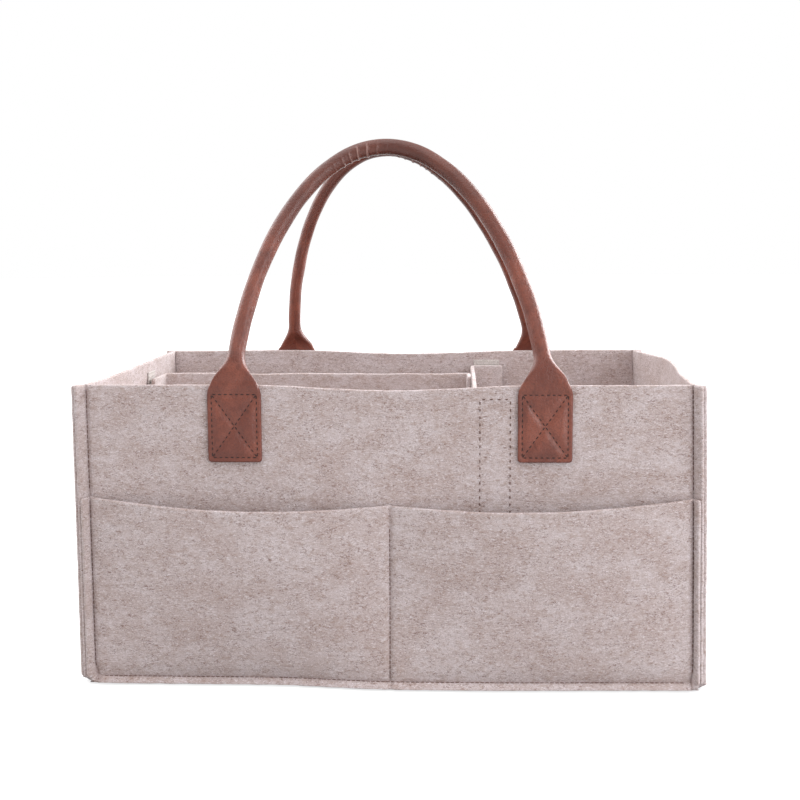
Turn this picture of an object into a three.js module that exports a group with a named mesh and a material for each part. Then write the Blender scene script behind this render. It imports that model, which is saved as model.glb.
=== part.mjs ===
// Felt nursery caddy: an open box of wool-look felt with outside pockets, two leather tube
// handles and a lift-out divider that holds to the walls with hook-and-loop strips.
// Millimetres. The origin is the centre of the underside, +X to the right, +Y to the back
// and +Z up. The front wall faces -Y.

import * as THREE from 'three';

// Felt, and one layer of it where a seam presses it
const feltThickness = 3;
const seamThickness = 2;
const layerGap = 0.3;

// Body, between the outer faces of its walls
const bodyWidth = 370;
const bodyDepth = 250;
const rimHeight = 184;
const rimSag = 3;

// Corner seams, turned outwards with raw edges
const seamAllowance = 9;
const pocketAllowance = 7.5;
const flangeTopRound = 2.5;
const flangeFootRound = 2;
const flangeFullHeight = 12;
const flangeFootHeight = 6;

// Base seam, where the walls flare out over the bevelled edge of the base
const baseFlare = 3.8;
const edgeClearance = 0.3;
const edgeRiseShare = 0.25;

// Outside pockets, two to a wall
const pocketCornerHeight = 116.5;
const pocketMiddleHeight = 110.5;
const pocketCentreHeight = 112;
const longPocketBulge = 12;
const shortPocketBulge = 10;
const bulgeFullnessShare = 0.8;

// Handle tabs, sewn flat on the front and back walls
const tabSpacing = 185;
const tabWidth = 33;
const tabThickness = 2.2;
const tabLength = 46;
const tabCornerRadius = 2;
const tabRise = 1.7;

// Handle arches, which hinge at the outer face of their tabs
const archHeight = 153;
const archRoundness = 1.61;
const handleRadius = 5;
const handleLeather = 1.8;
const frontLeanDegrees = 22;
const backLeanDegrees = 9;
const frontArchSag = 4.3;
const backArchSag = 19;
const backTabShift = 6;
const handleInnerLimitDegrees = 48;
const hingeClearance = 0.3;
const leafClearance = 0.5;
const shoulderHeight = 20;
const shoulderTaper = 1.8;
const shoulderShares = [0.16, 0.28, 0.42, 0.58, 0.77];
const flatSquareness = 8;
const roundSquareness = 2;
const flatCavity = 0.5;
const coreRadius = 2.9;
const coreStart = 26;
const coreEndShare = 0.6;

// Stitching
const threadWidth = 0.8;
const threadDepth = 0.5;
const stitchBoxWidth = 27;
const stitchBoxHeight = 37.5;
const stitchBoxFoot = 3;
const threadRadius = 0.4;
const threadInset = 0.5;
const threadStep = 1.6;
const threadFoot = 9;
const pocketThreadInset = 4.5;
const threadHeadroom = 5;

// Divider insert
const dividerTopDrop = 11;
const dividerPlaneY = 55;
const crossDividerLeftFace = 50.5;
const foldRadius = 3;
const wallFlapLength = 38;
const joinFlapLength = 20;
const endFlapLength = 25;

// Hook-and-loop strips
const stripWidth = 20;
const stripThickness = 1.2;
const stripFoot = 35;
const loopTopDrop = 7.2;
const hookTopDrop = 13;
const stripThreadInset = 1;
const leftStripStart = 3;

// How finely curves are cut
const pocketCellColumns = 9;
const pocketRows = 7;
const rimColumns = 8;
const archStations = 24;
const ringPoints = 12;
const corePoints = 8;
const coreStations = 22;
const foldSteps = 4;
const threadSides = 6;

// Inner faces of the walls, and heights that follow from them
const innerX = bodyWidth / 2 - feltThickness;
const innerY = bodyDepth / 2 - feltThickness;
const halfGap = layerGap / 2 * Math.SQRT1_2;
const floorTop = feltThickness;
const hingeHeight = rimHeight + tabRise + hingeClearance;
const tabInnerFace = innerY + feltThickness + layerGap;
const hingeOut = tabInnerFace + tabThickness;
const dividerTop = rimHeight - dividerTopDrop;
const dividerFoot = floorTop + layerGap;

// Front, right, back and left: each wall is drawn facing -Y and then turned about Z.
const walls = [
  { name: 'front', turn: 0, half: innerX, out: innerY, bulge: longPocketBulge, sag: rimSag },
  { name: 'right', turn: 1, half: innerY, out: innerX, bulge: shortPocketBulge, sag: 0 },
  { name: 'back', turn: 2, half: innerX, out: innerY, bulge: longPocketBulge, sag: rimSag },
  { name: 'left', turn: 3, half: innerY, out: innerX, bulge: shortPocketBulge, sag: 0 },
];

const finish = {
  felt: { color: 0xbcaba6, roughness: 0.95 },
  feltInside: { color: 0xc2b1ab, roughness: 0.95 },
  leather: { color: 0x7b4d44, roughness: 0.5 },
  rope: { color: 0xd8cfbf, roughness: 0.9 },
  darkThread: { color: 0x3a2320, roughness: 0.8 },
  paleThread: { color: 0x8f7d76, roughness: 0.8 },
  loop: { color: 0xd9d0cb, roughness: 0.95 },
  hook: { color: 0xcfc6c1, roughness: 0.7 },
};

function addPart(parent, name, geometry, look) {
  const mesh = new THREE.Mesh(geometry, new THREE.MeshStandardMaterial({ ...look, metalness: 0 }));
  mesh.name = name;
  parent.add(mesh);
  return mesh;
}

function geometryFrom(positions, faces) {
  const geometry = new THREE.BufferGeometry();
  geometry.setAttribute('position', new THREE.Float32BufferAttribute(positions.flat(), 3));
  geometry.setIndex(faces);
  return geometry;
}

function quad(faces, a, b, c, d) {
  faces.push(a, b, c, a, c, d);
}

// A closed sheet between an inner and an outer skin. Columns run along +X and rows up +Z,
// and the outer skin lies towards -Y. The right half is cut as the mirror of the left.
function sheet(columns, rows, skin) {
  const points = [];
  for (const outer of [false, true]) {
    for (let row = 0; row < rows; row += 1) {
      for (let column = 0; column < columns; column += 1) {
        points.push(skin(column, row, outer));
      }
    }
  }
  const inner = (column, row) => row * columns + column;
  const outer = (column, row) => rows * columns + inner(column, row);
  const faces = [];
  for (let row = 0; row < rows - 1; row += 1) {
    for (let column = 0; column < columns - 1; column += 1) {
      const right = column + 1;
      const above = row + 1;
      if (right <= columns / 2) {
        quad(faces, outer(column, row), outer(right, row), outer(right, above), outer(column, above));
        quad(faces, inner(column, row), inner(column, above), inner(right, above), inner(right, row));
      } else {
        quad(faces, outer(right, row), outer(right, above), outer(column, above), outer(column, row));
        quad(faces, inner(right, row), inner(column, row), inner(column, above), inner(right, above));
      }
    }
  }
  const top = rows - 1;
  for (let column = 0; column < columns - 1; column += 1) {
    const right = column + 1;
    quad(faces, outer(column, 0), inner(column, 0), inner(right, 0), outer(right, 0));
    quad(faces, outer(right, top), inner(right, top), inner(column, top), outer(column, top));
  }
  const last = columns - 1;
  for (let row = 0; row < rows - 1; row += 1) {
    const above = row + 1;
    quad(faces, outer(0, above), inner(0, above), inner(0, row), outer(0, row));
    quad(faces, outer(last, row), inner(last, row), inner(last, above), outer(last, above));
  }
  return geometryFrom(points, faces);
}

// A body lofted through rings of points. With inner rings it is a tube, open at both ends.
function loft(outerRings, innerRings) {
  const count = outerRings[0].length;
  const last = outerRings.length - 1;
  const points = outerRings.flat();
  const faces = [];
  const at = (ring, index) => ring * count + (index % count);
  const innerAt = (ring, index) => outerRings.length * count + at(ring, index);
  for (let ring = 0; ring < last; ring += 1) {
    for (let index = 0; index < count; index += 1) {
      const next = index + 1;
      quad(faces, at(ring, index), at(ring, next), at(ring + 1, next), at(ring + 1, index));
      if (innerRings) {
        quad(faces, innerAt(ring, next), innerAt(ring, index),
          innerAt(ring + 1, index), innerAt(ring + 1, next));
      }
    }
  }
  if (innerRings) {
    points.push(...innerRings.flat());
    for (let index = 0; index < count; index += 1) {
      const next = index + 1;
      quad(faces, at(0, next), at(0, index), innerAt(0, index), innerAt(0, next));
      quad(faces, at(last, index), at(last, next), innerAt(last, next), innerAt(last, index));
    }
  } else {
    for (let index = 1; index < count - 1; index += 1) {
      faces.push(at(0, 0), at(0, index + 1), at(0, index));
      faces.push(at(last, 0), at(last, index), at(last, index + 1));
    }
  }
  return geometryFrom(points, faces);
}

// Walls and pockets. A layer is a distance from the mitre plane of the seam, and a skin
// stands at a distance out from the inner face of its wall.

function cornerBend(wall, stand, layer) {
  return wall.half + stand - 2 * halfGap - Math.SQRT2 * layer;
}

function cornerEnd(wall, allowance, layer) {
  const along = allowance * Math.SQRT1_2;
  const across = halfGap + layer * Math.SQRT1_2;
  return { along: wall.half + along - across, out: wall.out + along + across };
}

function footLine(wall, layer) {
  return wall.out + baseFlare + Math.SQRT2 * (layerGap + layer);
}

function footHeight(wall, stand, layer) {
  return footLine(wall, layer) - wall.out - stand;
}

function footEnd(wall, layer) {
  const height = edgeClearance + edgeRiseShare * layer;
  return { out: footLine(wall, layer) - height, height };
}

// The end of a corner flange at its foot, where it meets the flare of the base seam.
function footCorner(wall, layer) {
  const foot = footEnd(wall, layer);
  const across = halfGap + layer * Math.SQRT1_2;
  return {
    along: wall.half + foot.out - wall.out - 2 * across,
    out: foot.out,
    height: foot.height + flangeFootRound,
  };
}

function wallRim(wall, along) {
  const share = Math.min(1, Math.abs(along) / (tabSpacing / 2));
  return rimHeight - wall.sag * Math.cos(share * Math.PI / 2) ** 2;
}

function wallGeometry(wall) {
  const columns = rimColumns + 5;
  const rows = 5;
  const last = columns - 1;
  return sheet(columns, rows, (column, row, outer) => {
    const layer = outer ? seamThickness : 0;
    const stand = outer ? feltThickness : 0;
    const bend = cornerBend(wall, stand, layer);
    const side = column < columns / 2 ? -1 : 1;
    const atEnd = column === 0 || column === last;
    const foot = footEnd(wall, layer);
    const footBend = footHeight(wall, stand, layer);
    if (atEnd) {
      const corner = footCorner(wall, layer);
      if (row === 0) {
        return [side * corner.along, -corner.out, corner.height];
      }
      const end = cornerEnd(wall, seamAllowance, layer);
      const heights = [0, flangeFootHeight, flangeFullHeight, rimHeight - flangeTopRound * 2,
        rimHeight - flangeTopRound];
      return [side * end.along, -end.out, heights[row]];
    }
    const middle = (column - 2) / (columns - 5) * 2 - 1;
    const atBend = column === 1 || column === last - 1;
    const along = atBend ? side * bend : middle * tabSpacing / 2;
    const heights = [foot.height, footBend, flangeFullHeight, rimHeight - flangeTopRound * 2,
      wallRim(wall, along)];
    const out = row === 0 ? foot.out : wall.out + stand;
    return [along, -out, heights[row]];
  });
}

// How far along its two cells a point of a pocket lies, from 0 to 1 in each.
function cellShare(along, bend) {
  return Math.abs(along) / bend;
}

function pocketTop(along, bend) {
  const share = cellShare(along, bend);
  const ends = pocketCentreHeight + (pocketCornerHeight - pocketCentreHeight) * share;
  const middle = (pocketCentreHeight + pocketCornerHeight) / 2;
  return ends - (middle - pocketMiddleHeight) * Math.sin(share * Math.PI);
}

function pocketBulge(wall, along, bend, rise) {
  const across = Math.max(0, Math.sin(cellShare(along, bend) * Math.PI)) ** bulgeFullnessShare;
  return wall.bulge * across * Math.sin(rise * Math.PI / 2) ** bulgeFullnessShare;
}

function pocketGeometry(wall) {
  const columns = 2 * pocketCellColumns + 3;
  const rows = pocketRows + 2;
  const last = columns - 1;
  const innerStand = feltThickness + layerGap;
  const middleBend = cornerBend(wall, innerStand, seamThickness + layerGap);
  return sheet(columns, rows, (column, row, outer) => {
    const layer = seamThickness + layerGap + (outer ? seamThickness : 0);
    const thickness = row < 2 ? seamThickness : feltThickness;
    const stand = innerStand + (outer ? thickness : 0);
    const side = column < columns / 2 ? -1 : 1;
    const foot = footEnd(wall, layer);
    const footBend = footHeight(wall, stand, layer);
    const rise = Math.max(0, row - 1) / pocketRows;
    if (column === 0 || column === last) {
      const corner = footCorner(wall, layer);
      if (row === 0) {
        return [side * corner.along, -corner.out, corner.height];
      }
      const end = cornerEnd(wall, pocketAllowance, layer);
      const height = flangeFootHeight + (pocketCornerHeight - flangeFootHeight) * rise;
      return [side * end.along, -end.out, height];
    }
    const fullStand = innerStand + (outer ? feltThickness : 0);
    const bend = cornerBend(wall, fullStand, layer);
    const share = (column - 1) / (columns - 3) * 2 - 1;
    const along = share * bend;
    if (row === 0) {
      return [along, -foot.out, foot.height];
    }
    const height = footBend + (pocketTop(share * middleBend, middleBend) - footBend) * rise;
    const bulge = pocketBulge(wall, share * middleBend, middleBend, rise);
    return [along, -(wall.out + stand + bulge), height];
  });
}

function baseGeometry() {
  const ring = (grow, height) => [
    [-(innerX + grow), -(innerY + grow), height],
    [innerX + grow, -(innerY + grow), height],
    [innerX + grow, innerY + grow, height],
    [-(innerX + grow), innerY + grow, height],
  ];
  return loft([ring(baseFlare, 0), ring(baseFlare - feltThickness, feltThickness)]);
}

// Threads. A thread is drawn as one slim strand that lies on the felt it holds.

function strand(points, across, over) {
  const rings = points.map((point) => Array.from({ length: threadSides }, (_, index) => {
    const turn = 2 * Math.PI * index / threadSides;
    const shift = across.clone().multiplyScalar(threadRadius * Math.cos(turn));
    shift.addScaledVector(over, threadRadius * Math.sin(turn));
    return shift.add(point).toArray();
  }));
  return loft(rings);
}

const towardsRight = new THREE.Vector3(1, 0, 0);
const towardsBack = new THREE.Vector3(0, 1, 0);
const upwards = new THREE.Vector3(0, 0, 1);

// A corner seam runs down the wall, steps out over the pocket's edge and runs on down it.
function cornerThreadGeometry(wall, side) {
  const wallAlong = side * (cornerBend(wall, feltThickness, seamThickness) - threadInset);
  const wallOut = wall.out + feltThickness + layerGap + threadRadius;
  const pocketStand = 2 * feltThickness + layerGap;
  const pocketLayer = 2 * seamThickness + layerGap;
  const pocketAlong = side * (cornerBend(wall, pocketStand, pocketLayer) - pocketThreadInset);
  const pocketOut = wallOut + feltThickness + threadStep;
  const top = rimHeight - threadHeadroom;
  const step = pocketCornerHeight + threadHeadroom;
  return strand([
    new THREE.Vector3(wallAlong, -wallOut, top),
    new THREE.Vector3(wallAlong, -wallOut, step + feltThickness),
    new THREE.Vector3(pocketAlong, -pocketOut, step),
    new THREE.Vector3(pocketAlong, -pocketOut, flangeFullHeight),
  ], towardsBack, towardsRight);
}

function baseThreadGeometry(wall) {
  const stand = feltThickness + layerGap + seamThickness;
  const reach = cornerBend(wall, stand, 2 * seamThickness + layerGap) - threadFoot;
  const out = wall.out + stand + layerGap + threadRadius + threadInset;
  const height = footHeight(wall, stand, 2 * seamThickness + layerGap) + threadInset;
  return strand([
    new THREE.Vector3(-reach, -out, height),
    new THREE.Vector3(reach, -out, height),
  ], towardsBack, upwards);
}

function pocketThreadGeometry(wall) {
  const out = wall.out + 2 * feltThickness + 2 * layerGap + threadRadius;
  return strand([
    new THREE.Vector3(0, -out, pocketCentreHeight - threadInset),
    new THREE.Vector3(0, -out, threadFoot),
  ], towardsBack, towardsRight);
}

// A stitched outline that lies flat on a wall, at a distance out from the wall's origin
function flatThread(outline, holes, out) {
  const shape = new THREE.Shape(outline);
  shape.holes = holes.map((hole) => new THREE.Path(hole));
  const geometry = new THREE.ExtrudeGeometry(shape, { depth: threadDepth, bevelEnabled: false });
  geometry.rotateX(Math.PI / 2);
  geometry.translate(0, -out, 0);
  return geometry;
}

function rectangle(centre, low, high, width, grow) {
  const half = width / 2 + grow;
  return [
    new THREE.Vector2(centre - half, low - grow),
    new THREE.Vector2(centre + half, low - grow),
    new THREE.Vector2(centre + half, high + grow),
    new THREE.Vector2(centre - half, high + grow),
  ];
}

// Handle tabs and the box-and-cross stitching on them

function tabGeometry(centre) {
  const foot = rimHeight - tabLength;
  const top = hingeHeight - hingeClearance;
  const left = centre - tabWidth / 2;
  const right = centre + tabWidth / 2;
  const outline = new THREE.Shape();
  outline.moveTo(left, top);
  outline.lineTo(left, foot + tabCornerRadius);
  outline.absarc(left + tabCornerRadius, foot + tabCornerRadius, tabCornerRadius,
    Math.PI, Math.PI * 1.5, false);
  outline.absarc(right - tabCornerRadius, foot + tabCornerRadius, tabCornerRadius,
    Math.PI * 1.5, Math.PI * 2, false);
  outline.lineTo(right, top);
  outline.closePath();
  const geometry = new THREE.ExtrudeGeometry(outline, {
    depth: tabThickness, bevelEnabled: false, curveSegments: foldSteps,
  });
  geometry.rotateX(Math.PI / 2);
  geometry.translate(0, -tabInnerFace, 0);
  return geometry;
}

// The four windows of a box with a cross in it are triangles, drawn in by half a thread.
function tabThreadGeometry(centre) {
  const low = rimHeight - tabLength + stitchBoxFoot;
  const high = low + stitchBoxHeight;
  const corners = rectangle(centre, low, high, stitchBoxWidth, 0);
  const middle = new THREE.Vector2(centre, (low + high) / 2);
  const holes = corners.map((corner, index) => {
    const next = corners[(index + 1) % corners.length];
    const heart = corner.clone().add(next).add(middle).divideScalar(3);
    const sides = [corner, next, middle];
    const area = Math.abs(next.clone().sub(corner).cross(middle.clone().sub(corner)));
    const around = sides.reduce((sum, point, at) => sum + point.distanceTo(sides[(at + 1) % 3]), 0);
    const inset = 1 - threadWidth / 2 / (area / around);
    return sides.map((point) => point.clone().sub(heart).multiplyScalar(inset).add(heart));
  });
  return flatThread(rectangle(centre, low, high, stitchBoxWidth, threadWidth / 2), holes,
    hingeOut + layerGap);
}

// Handle arches, drawn upright about their hinge: X along the wall, Z up and -Y outwards.

function smooth(share) {
  const clamped = Math.min(1, Math.max(0, share));
  return clamped * clamped * (3 - 2 * clamped);
}

function archPoint(angle) {
  const rise = archHeight * Math.max(0, Math.sin(angle)) ** (2 / archRoundness);
  return new THREE.Vector2(tabSpacing / 2 * Math.cos(angle), rise);
}

function archAngle(rise) {
  return Math.asin((rise / archHeight) ** (archRoundness / 2));
}

function archTangent(angle) {
  const step = Math.PI / (archStations * archStations);
  const before = archPoint(Math.max(0, angle - step));
  const after = archPoint(Math.min(Math.PI, angle + step));
  return new THREE.Vector2().subVectors(after, before).normalize();
}

function archAngles(startRise, stations) {
  const first = archAngle(startRise);
  return Array.from({ length: stations + 1 },
    (_, index) => first + (Math.PI - 2 * first) * index / stations);
}

// A rounded section: squarish where the leather lies flat, round where it wraps the core.
function archRing(angle, halfWidth, halfDepth, squareness, count, bevel) {
  const centre = archPoint(angle);
  const tangent = archTangent(angle);
  const normal = new THREE.Vector2(tangent.y, -tangent.x);
  const power = 2 / squareness;
  const climb = angle < Math.PI / 2 ? 1 : -1;
  return Array.from({ length: count }, (_, index) => {
    const turn = 2 * Math.PI * (index + 1 / 2) / count;
    const across = Math.sign(Math.cos(turn)) * Math.abs(Math.cos(turn)) ** power * halfWidth;
    const deep = Math.sign(Math.sin(turn)) * Math.abs(Math.sin(turn)) ** power * halfDepth;
    const inwards = tabThickness / 2 + deep;
    const slide = climb * bevel * inwards;
    return [
      centre.x + normal.x * across + tangent.x * slide,
      inwards,
      centre.y + normal.y * across + tangent.y * slide,
    ];
  });
}

function sleeveGeometry() {
  const shoulder = [leafClearance, ...shoulderShares.map((share) => share * shoulderHeight)];
  const legs = shoulder.map((rise) => archAngle(rise));
  const arch = archAngles(shoulderHeight, archStations);
  const angles = [...legs, ...arch, ...legs.map((angle) => Math.PI - angle).reverse()];
  const bevel = Math.tan(THREE.MathUtils.degToRad(handleInnerLimitDegrees));
  const ring = (angle, index, leather) => {
    const rise = archPoint(angle).y;
    const flat = Math.max(0, 1 - rise / shoulderHeight);
    const round = smooth(rise / shoulderHeight);
    const halfWidth = handleRadius + (tabWidth / 2 - handleRadius) * flat ** shoulderTaper;
    const halfDepth = tabThickness / 2 + (handleRadius - tabThickness / 2) * round;
    const depthWall = (tabThickness - flatCavity) / 2 * (1 - round) + handleLeather * round;
    const squareness = roundSquareness + (flatSquareness - roundSquareness) * (1 - round);
    const isEnd = index === 0 || index === angles.length - 1;
    return archRing(angle, halfWidth - (leather ? 0 : handleLeather),
      halfDepth - (leather ? 0 : depthWall), squareness, ringPoints, isEnd ? bevel : 0);
  };
  const outer = angles.map((angle, index) => ring(angle, index, true));
  const inner = angles.map((angle, index) => ring(angle, index, false));
  return loft(outer, inner);
}

// The soft arch sags to one side, most of all at its top.
function sagged(geometry, sag) {
  const shear = new THREE.Matrix4().makeShear(0, 0, 0, 0, sag / archHeight, 0);
  return geometry.applyMatrix4(shear);
}

function coreGeometry() {
  const angles = archAngles(coreStart, coreStations);
  return loft(angles.map((angle, index) => {
    const isEnd = index === 0 || index === angles.length - 1;
    const radius = coreRadius * (isEnd ? coreEndShare : 1);
    return archRing(angle, radius, radius, roundSquareness, corePoints, 0);
  }));
}

// Divider insert, as folded strips of felt that stand upright

function foldedStrip(points, thickness, low, high) {
  const path = new THREE.Path();
  path.moveTo(...points[0]);
  for (let index = 1; index < points.length - 1; index += 1) {
    const corner = new THREE.Vector2(...points[index]);
    const back = new THREE.Vector2(...points[index - 1]).sub(corner).setLength(foldRadius).add(corner);
    const on = new THREE.Vector2(...points[index + 1]).sub(corner).setLength(foldRadius).add(corner);
    path.lineTo(back.x, back.y);
    path.quadraticCurveTo(corner.x, corner.y, on.x, on.y);
  }
  path.lineTo(...points[points.length - 1]);
  const line = path.getPoints(foldSteps);
  const normalAt = (index) => {
    const before = line[Math.max(0, index - 1)];
    const after = line[Math.min(line.length - 1, index + 1)];
    const tangent = new THREE.Vector2().subVectors(after, before).normalize();
    return new THREE.Vector2(-tangent.y, tangent.x).multiplyScalar(thickness / 2);
  };
  const left = line.map((point, index) => point.clone().add(normalAt(index)));
  const right = line.map((point, index) => point.clone().sub(normalAt(index)));
  const geometry = new THREE.ExtrudeGeometry(new THREE.Shape([...left, ...right.reverse()]), {
    depth: high - low, bevelEnabled: false,
  });
  geometry.translate(0, 0, low);
  return geometry;
}

// From a wall's inner face inwards: the loop strip, the hook strip, then the divider's flap.
const loopCentre = layerGap + stripThickness / 2;
const hookCentre = 2 * layerGap + stripThickness * 3 / 2;
const flapCentre = 3 * layerGap + 2 * stripThickness + feltThickness / 2;
const crossCentreX = crossDividerLeftFace + feltThickness / 2;
const crossStripX = crossDividerLeftFace + endFlapLength / 2;
const leftStripY = dividerPlaneY - wallFlapLength + leftStripStart + stripWidth / 2;

function longDividerGeometry() {
  const leftX = -(innerX - flapCentre);
  const joinX = crossDividerLeftFace - layerGap - feltThickness / 2;
  return foldedStrip([
    [leftX, dividerPlaneY - wallFlapLength],
    [leftX, dividerPlaneY],
    [joinX, dividerPlaneY],
    [joinX, dividerPlaneY - joinFlapLength],
  ], feltThickness, dividerFoot, dividerTop);
}

function crossDividerGeometry() {
  const endY = innerY - flapCentre;
  return foldedStrip([
    [crossDividerLeftFace + endFlapLength, -endY],
    [crossCentreX, -endY],
    [crossCentreX, endY],
    [crossDividerLeftFace + endFlapLength, endY],
  ], feltThickness, dividerFoot, dividerTop);
}

function turned(geometry, wall) {
  geometry.rotateZ(wall.turn * Math.PI / 2);
  return geometry;
}

// A hook or loop strip on a wall, drawn facing -Y like the walls.
function stripGeometry(wall, along, inwards, topDrop) {
  const top = rimHeight - topDrop;
  const strip = new THREE.BoxGeometry(stripWidth, stripThickness, top - stripFoot);
  strip.translate(along, -(wall.out - inwards), (top + stripFoot) / 2);
  return turned(strip, wall);
}

// The seam that holds a loop strip shows on the outside of its wall as a tall rectangle.
function stripThreadGeometry(wall, along) {
  const low = stripFoot + stripThreadInset;
  const high = rimHeight - loopTopDrop - stripThreadInset;
  const width = stripWidth - 2 * stripThreadInset;
  const outline = rectangle(along, low, high, width, threadWidth / 2);
  const window = rectangle(along, low, high, width, -threadWidth / 2);
  return turned(flatThread(outline, [window], wall.out + feltThickness + layerGap), wall);
}

// Assembly

const caddy = new THREE.Group();
const [frontWall, rightWall, backWall, leftWall] = walls;

addPart(caddy, 'base_panel', baseGeometry(), finish.felt);

for (const wall of walls) {
  const group = new THREE.Group();
  group.rotation.z = wall.turn * Math.PI / 2;
  caddy.add(group);
  addPart(group, `${wall.name}_panel`, wallGeometry(wall), finish.felt);
  addPart(group, `${wall.name}_pocket_panel`, pocketGeometry(wall), finish.felt);
  addPart(group, `${wall.name}_pocket_thread`, pocketThreadGeometry(wall), finish.paleThread);
  addPart(group, `${wall.name}_base_thread`, baseThreadGeometry(wall), finish.paleThread);
}

// Each handle's wall, its lean inwards, its sag and its tabs' shift, both along the wall's drawing
const handles = [
  [frontWall, frontLeanDegrees, -frontArchSag, 0],
  [backWall, backLeanDegrees, backArchSag, -backTabShift],
];
for (const [wall, leanDegrees, sag, tabShift] of handles) {
  const group = new THREE.Group();
  group.rotation.z = wall.turn * Math.PI / 2;
  caddy.add(group);
  for (const [sideName, direction] of [['left', -1], ['right', 1]]) {
    const side = wall === frontWall ? direction : -direction;
    const centre = tabShift + side * tabSpacing / 2;
    addPart(group, `${wall.name}_${sideName}_corner_thread`, cornerThreadGeometry(wall, side),
      finish.paleThread);
    addPart(group, `${wall.name}_handle_${sideName}_tab`, tabGeometry(centre), finish.leather);
    addPart(group, `${wall.name}_handle_${sideName}_thread`, tabThreadGeometry(centre), finish.darkThread);
  }
  const hinge = new THREE.Group();
  hinge.position.set(tabShift, -hingeOut, hingeHeight);
  hinge.rotation.x = -THREE.MathUtils.degToRad(leanDegrees);
  group.add(hinge);
  addPart(hinge, `${wall.name}_handle_sleeve`, sagged(sleeveGeometry(), sag), finish.leather);
  addPart(hinge, `${wall.name}_handle_core`, sagged(coreGeometry(), sag), finish.rope);
}

addPart(caddy, 'cross_divider', crossDividerGeometry(), finish.feltInside);
addPart(caddy, 'long_divider', longDividerGeometry(), finish.feltInside);

// Each strip's place along its own wall, which turns the drawing round
const strips = [
  [frontWall, crossStripX],
  [backWall, -crossStripX],
  [leftWall, -leftStripY],
];
for (const [wall, along] of strips) {
  addPart(caddy, `${wall.name}_loop_strip`, stripGeometry(wall, along, loopCentre, loopTopDrop), finish.loop);
  addPart(caddy, `${wall.name}_hook_strip`, stripGeometry(wall, along, hookCentre, hookTopDrop), finish.hook);
  addPart(caddy, `${wall.name}_strip_thread`, stripThreadGeometry(wall, along), finish.paleThread);
}

export default caddy;
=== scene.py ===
"""Dresses a packed nursery caddy: melange felt with sewn seams and outside pockets, two leather
tube handles, and a lift-out felt divider that holds to the walls with hook-and-loop strips.

Metres, in the frame's own axes: +X to the right, +Y to the back and +Z up. The front wall
faces -Y. Every felt panel is drawn as if it were the front wall and then turned round.
"""

import logging
import math
from dataclasses import dataclass
from enum import Enum
from functools import cached_property
from typing import Callable, Iterable, Sequence

import bmesh
import bpy
from mathutils import Matrix, Vector, noise


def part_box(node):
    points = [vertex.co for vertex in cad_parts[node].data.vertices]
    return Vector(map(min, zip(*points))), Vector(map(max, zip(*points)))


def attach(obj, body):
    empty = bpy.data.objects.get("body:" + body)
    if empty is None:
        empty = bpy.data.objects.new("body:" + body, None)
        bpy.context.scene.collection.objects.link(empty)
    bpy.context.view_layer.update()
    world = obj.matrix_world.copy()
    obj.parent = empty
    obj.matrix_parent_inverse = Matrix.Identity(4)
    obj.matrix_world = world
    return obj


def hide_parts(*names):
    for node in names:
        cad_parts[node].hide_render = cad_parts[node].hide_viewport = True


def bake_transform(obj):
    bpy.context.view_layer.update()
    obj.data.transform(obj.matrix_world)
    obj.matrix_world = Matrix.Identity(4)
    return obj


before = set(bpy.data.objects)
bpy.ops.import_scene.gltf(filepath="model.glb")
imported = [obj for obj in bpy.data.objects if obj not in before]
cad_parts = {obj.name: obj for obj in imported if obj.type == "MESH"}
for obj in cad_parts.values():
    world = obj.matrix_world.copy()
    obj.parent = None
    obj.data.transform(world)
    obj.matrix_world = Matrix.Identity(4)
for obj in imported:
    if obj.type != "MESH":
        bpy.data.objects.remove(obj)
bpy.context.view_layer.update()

logging.basicConfig(level=logging.INFO, format="%(message)s")
log = logging.getLogger("caddy")

Colour = tuple[float, float, float]
Mesh = bmesh.types.BMesh
Piece = bpy.types.Object
Look = bpy.types.Material
Socket = bpy.types.NodeSocket
SheetPlace = Callable[[float, float, bool], Vector]
TubePlace = Callable[[float, float], Vector]
TubeGirth = Callable[[float], float]
TubeMark = Callable[[float, float], float]
Layer = tuple[Socket, float, float, float, Colour]

DIAGONAL = math.sqrt(0.5)
# How far along and out of its wall a skin faces where it turns into a corner seam.
SEAM_ALONG, SEAM_OUT = 0.38, 0.92
# The share of the felt's thickness that its raw edges are rounded off by.
RAW_EDGE = 0.27
# How wide the felt's soft lumps are.
LUMP = 0.006


# Small sums

def smooth(share: float) -> float:
    """Eases a share between 0 and 1."""
    share = min(1.0, max(0.0, share))
    return share * share * (3 - 2 * share)


def ease(value: float, start: float, reach: float) -> float:
    """Eases from 0 at start to 1 at a reach beyond it."""
    return smooth((value - start) / reach)


def mix(low: float, high: float, share: float) -> float:
    """A value a share of the way from low to high."""
    return low + (high - low) * share


def spread(low: float, high: float, count: int) -> list[float]:
    """Count values from low to high, both included."""
    return [mix(low, high, index / (count - 1)) for index in range(count)]


def dent(distance: float, width: float) -> float:
    """How deep a seam draws the cloth in at a distance from it, as a share of its depth."""
    return math.exp(-((distance / width) ** 2))


# Meshes

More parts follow.
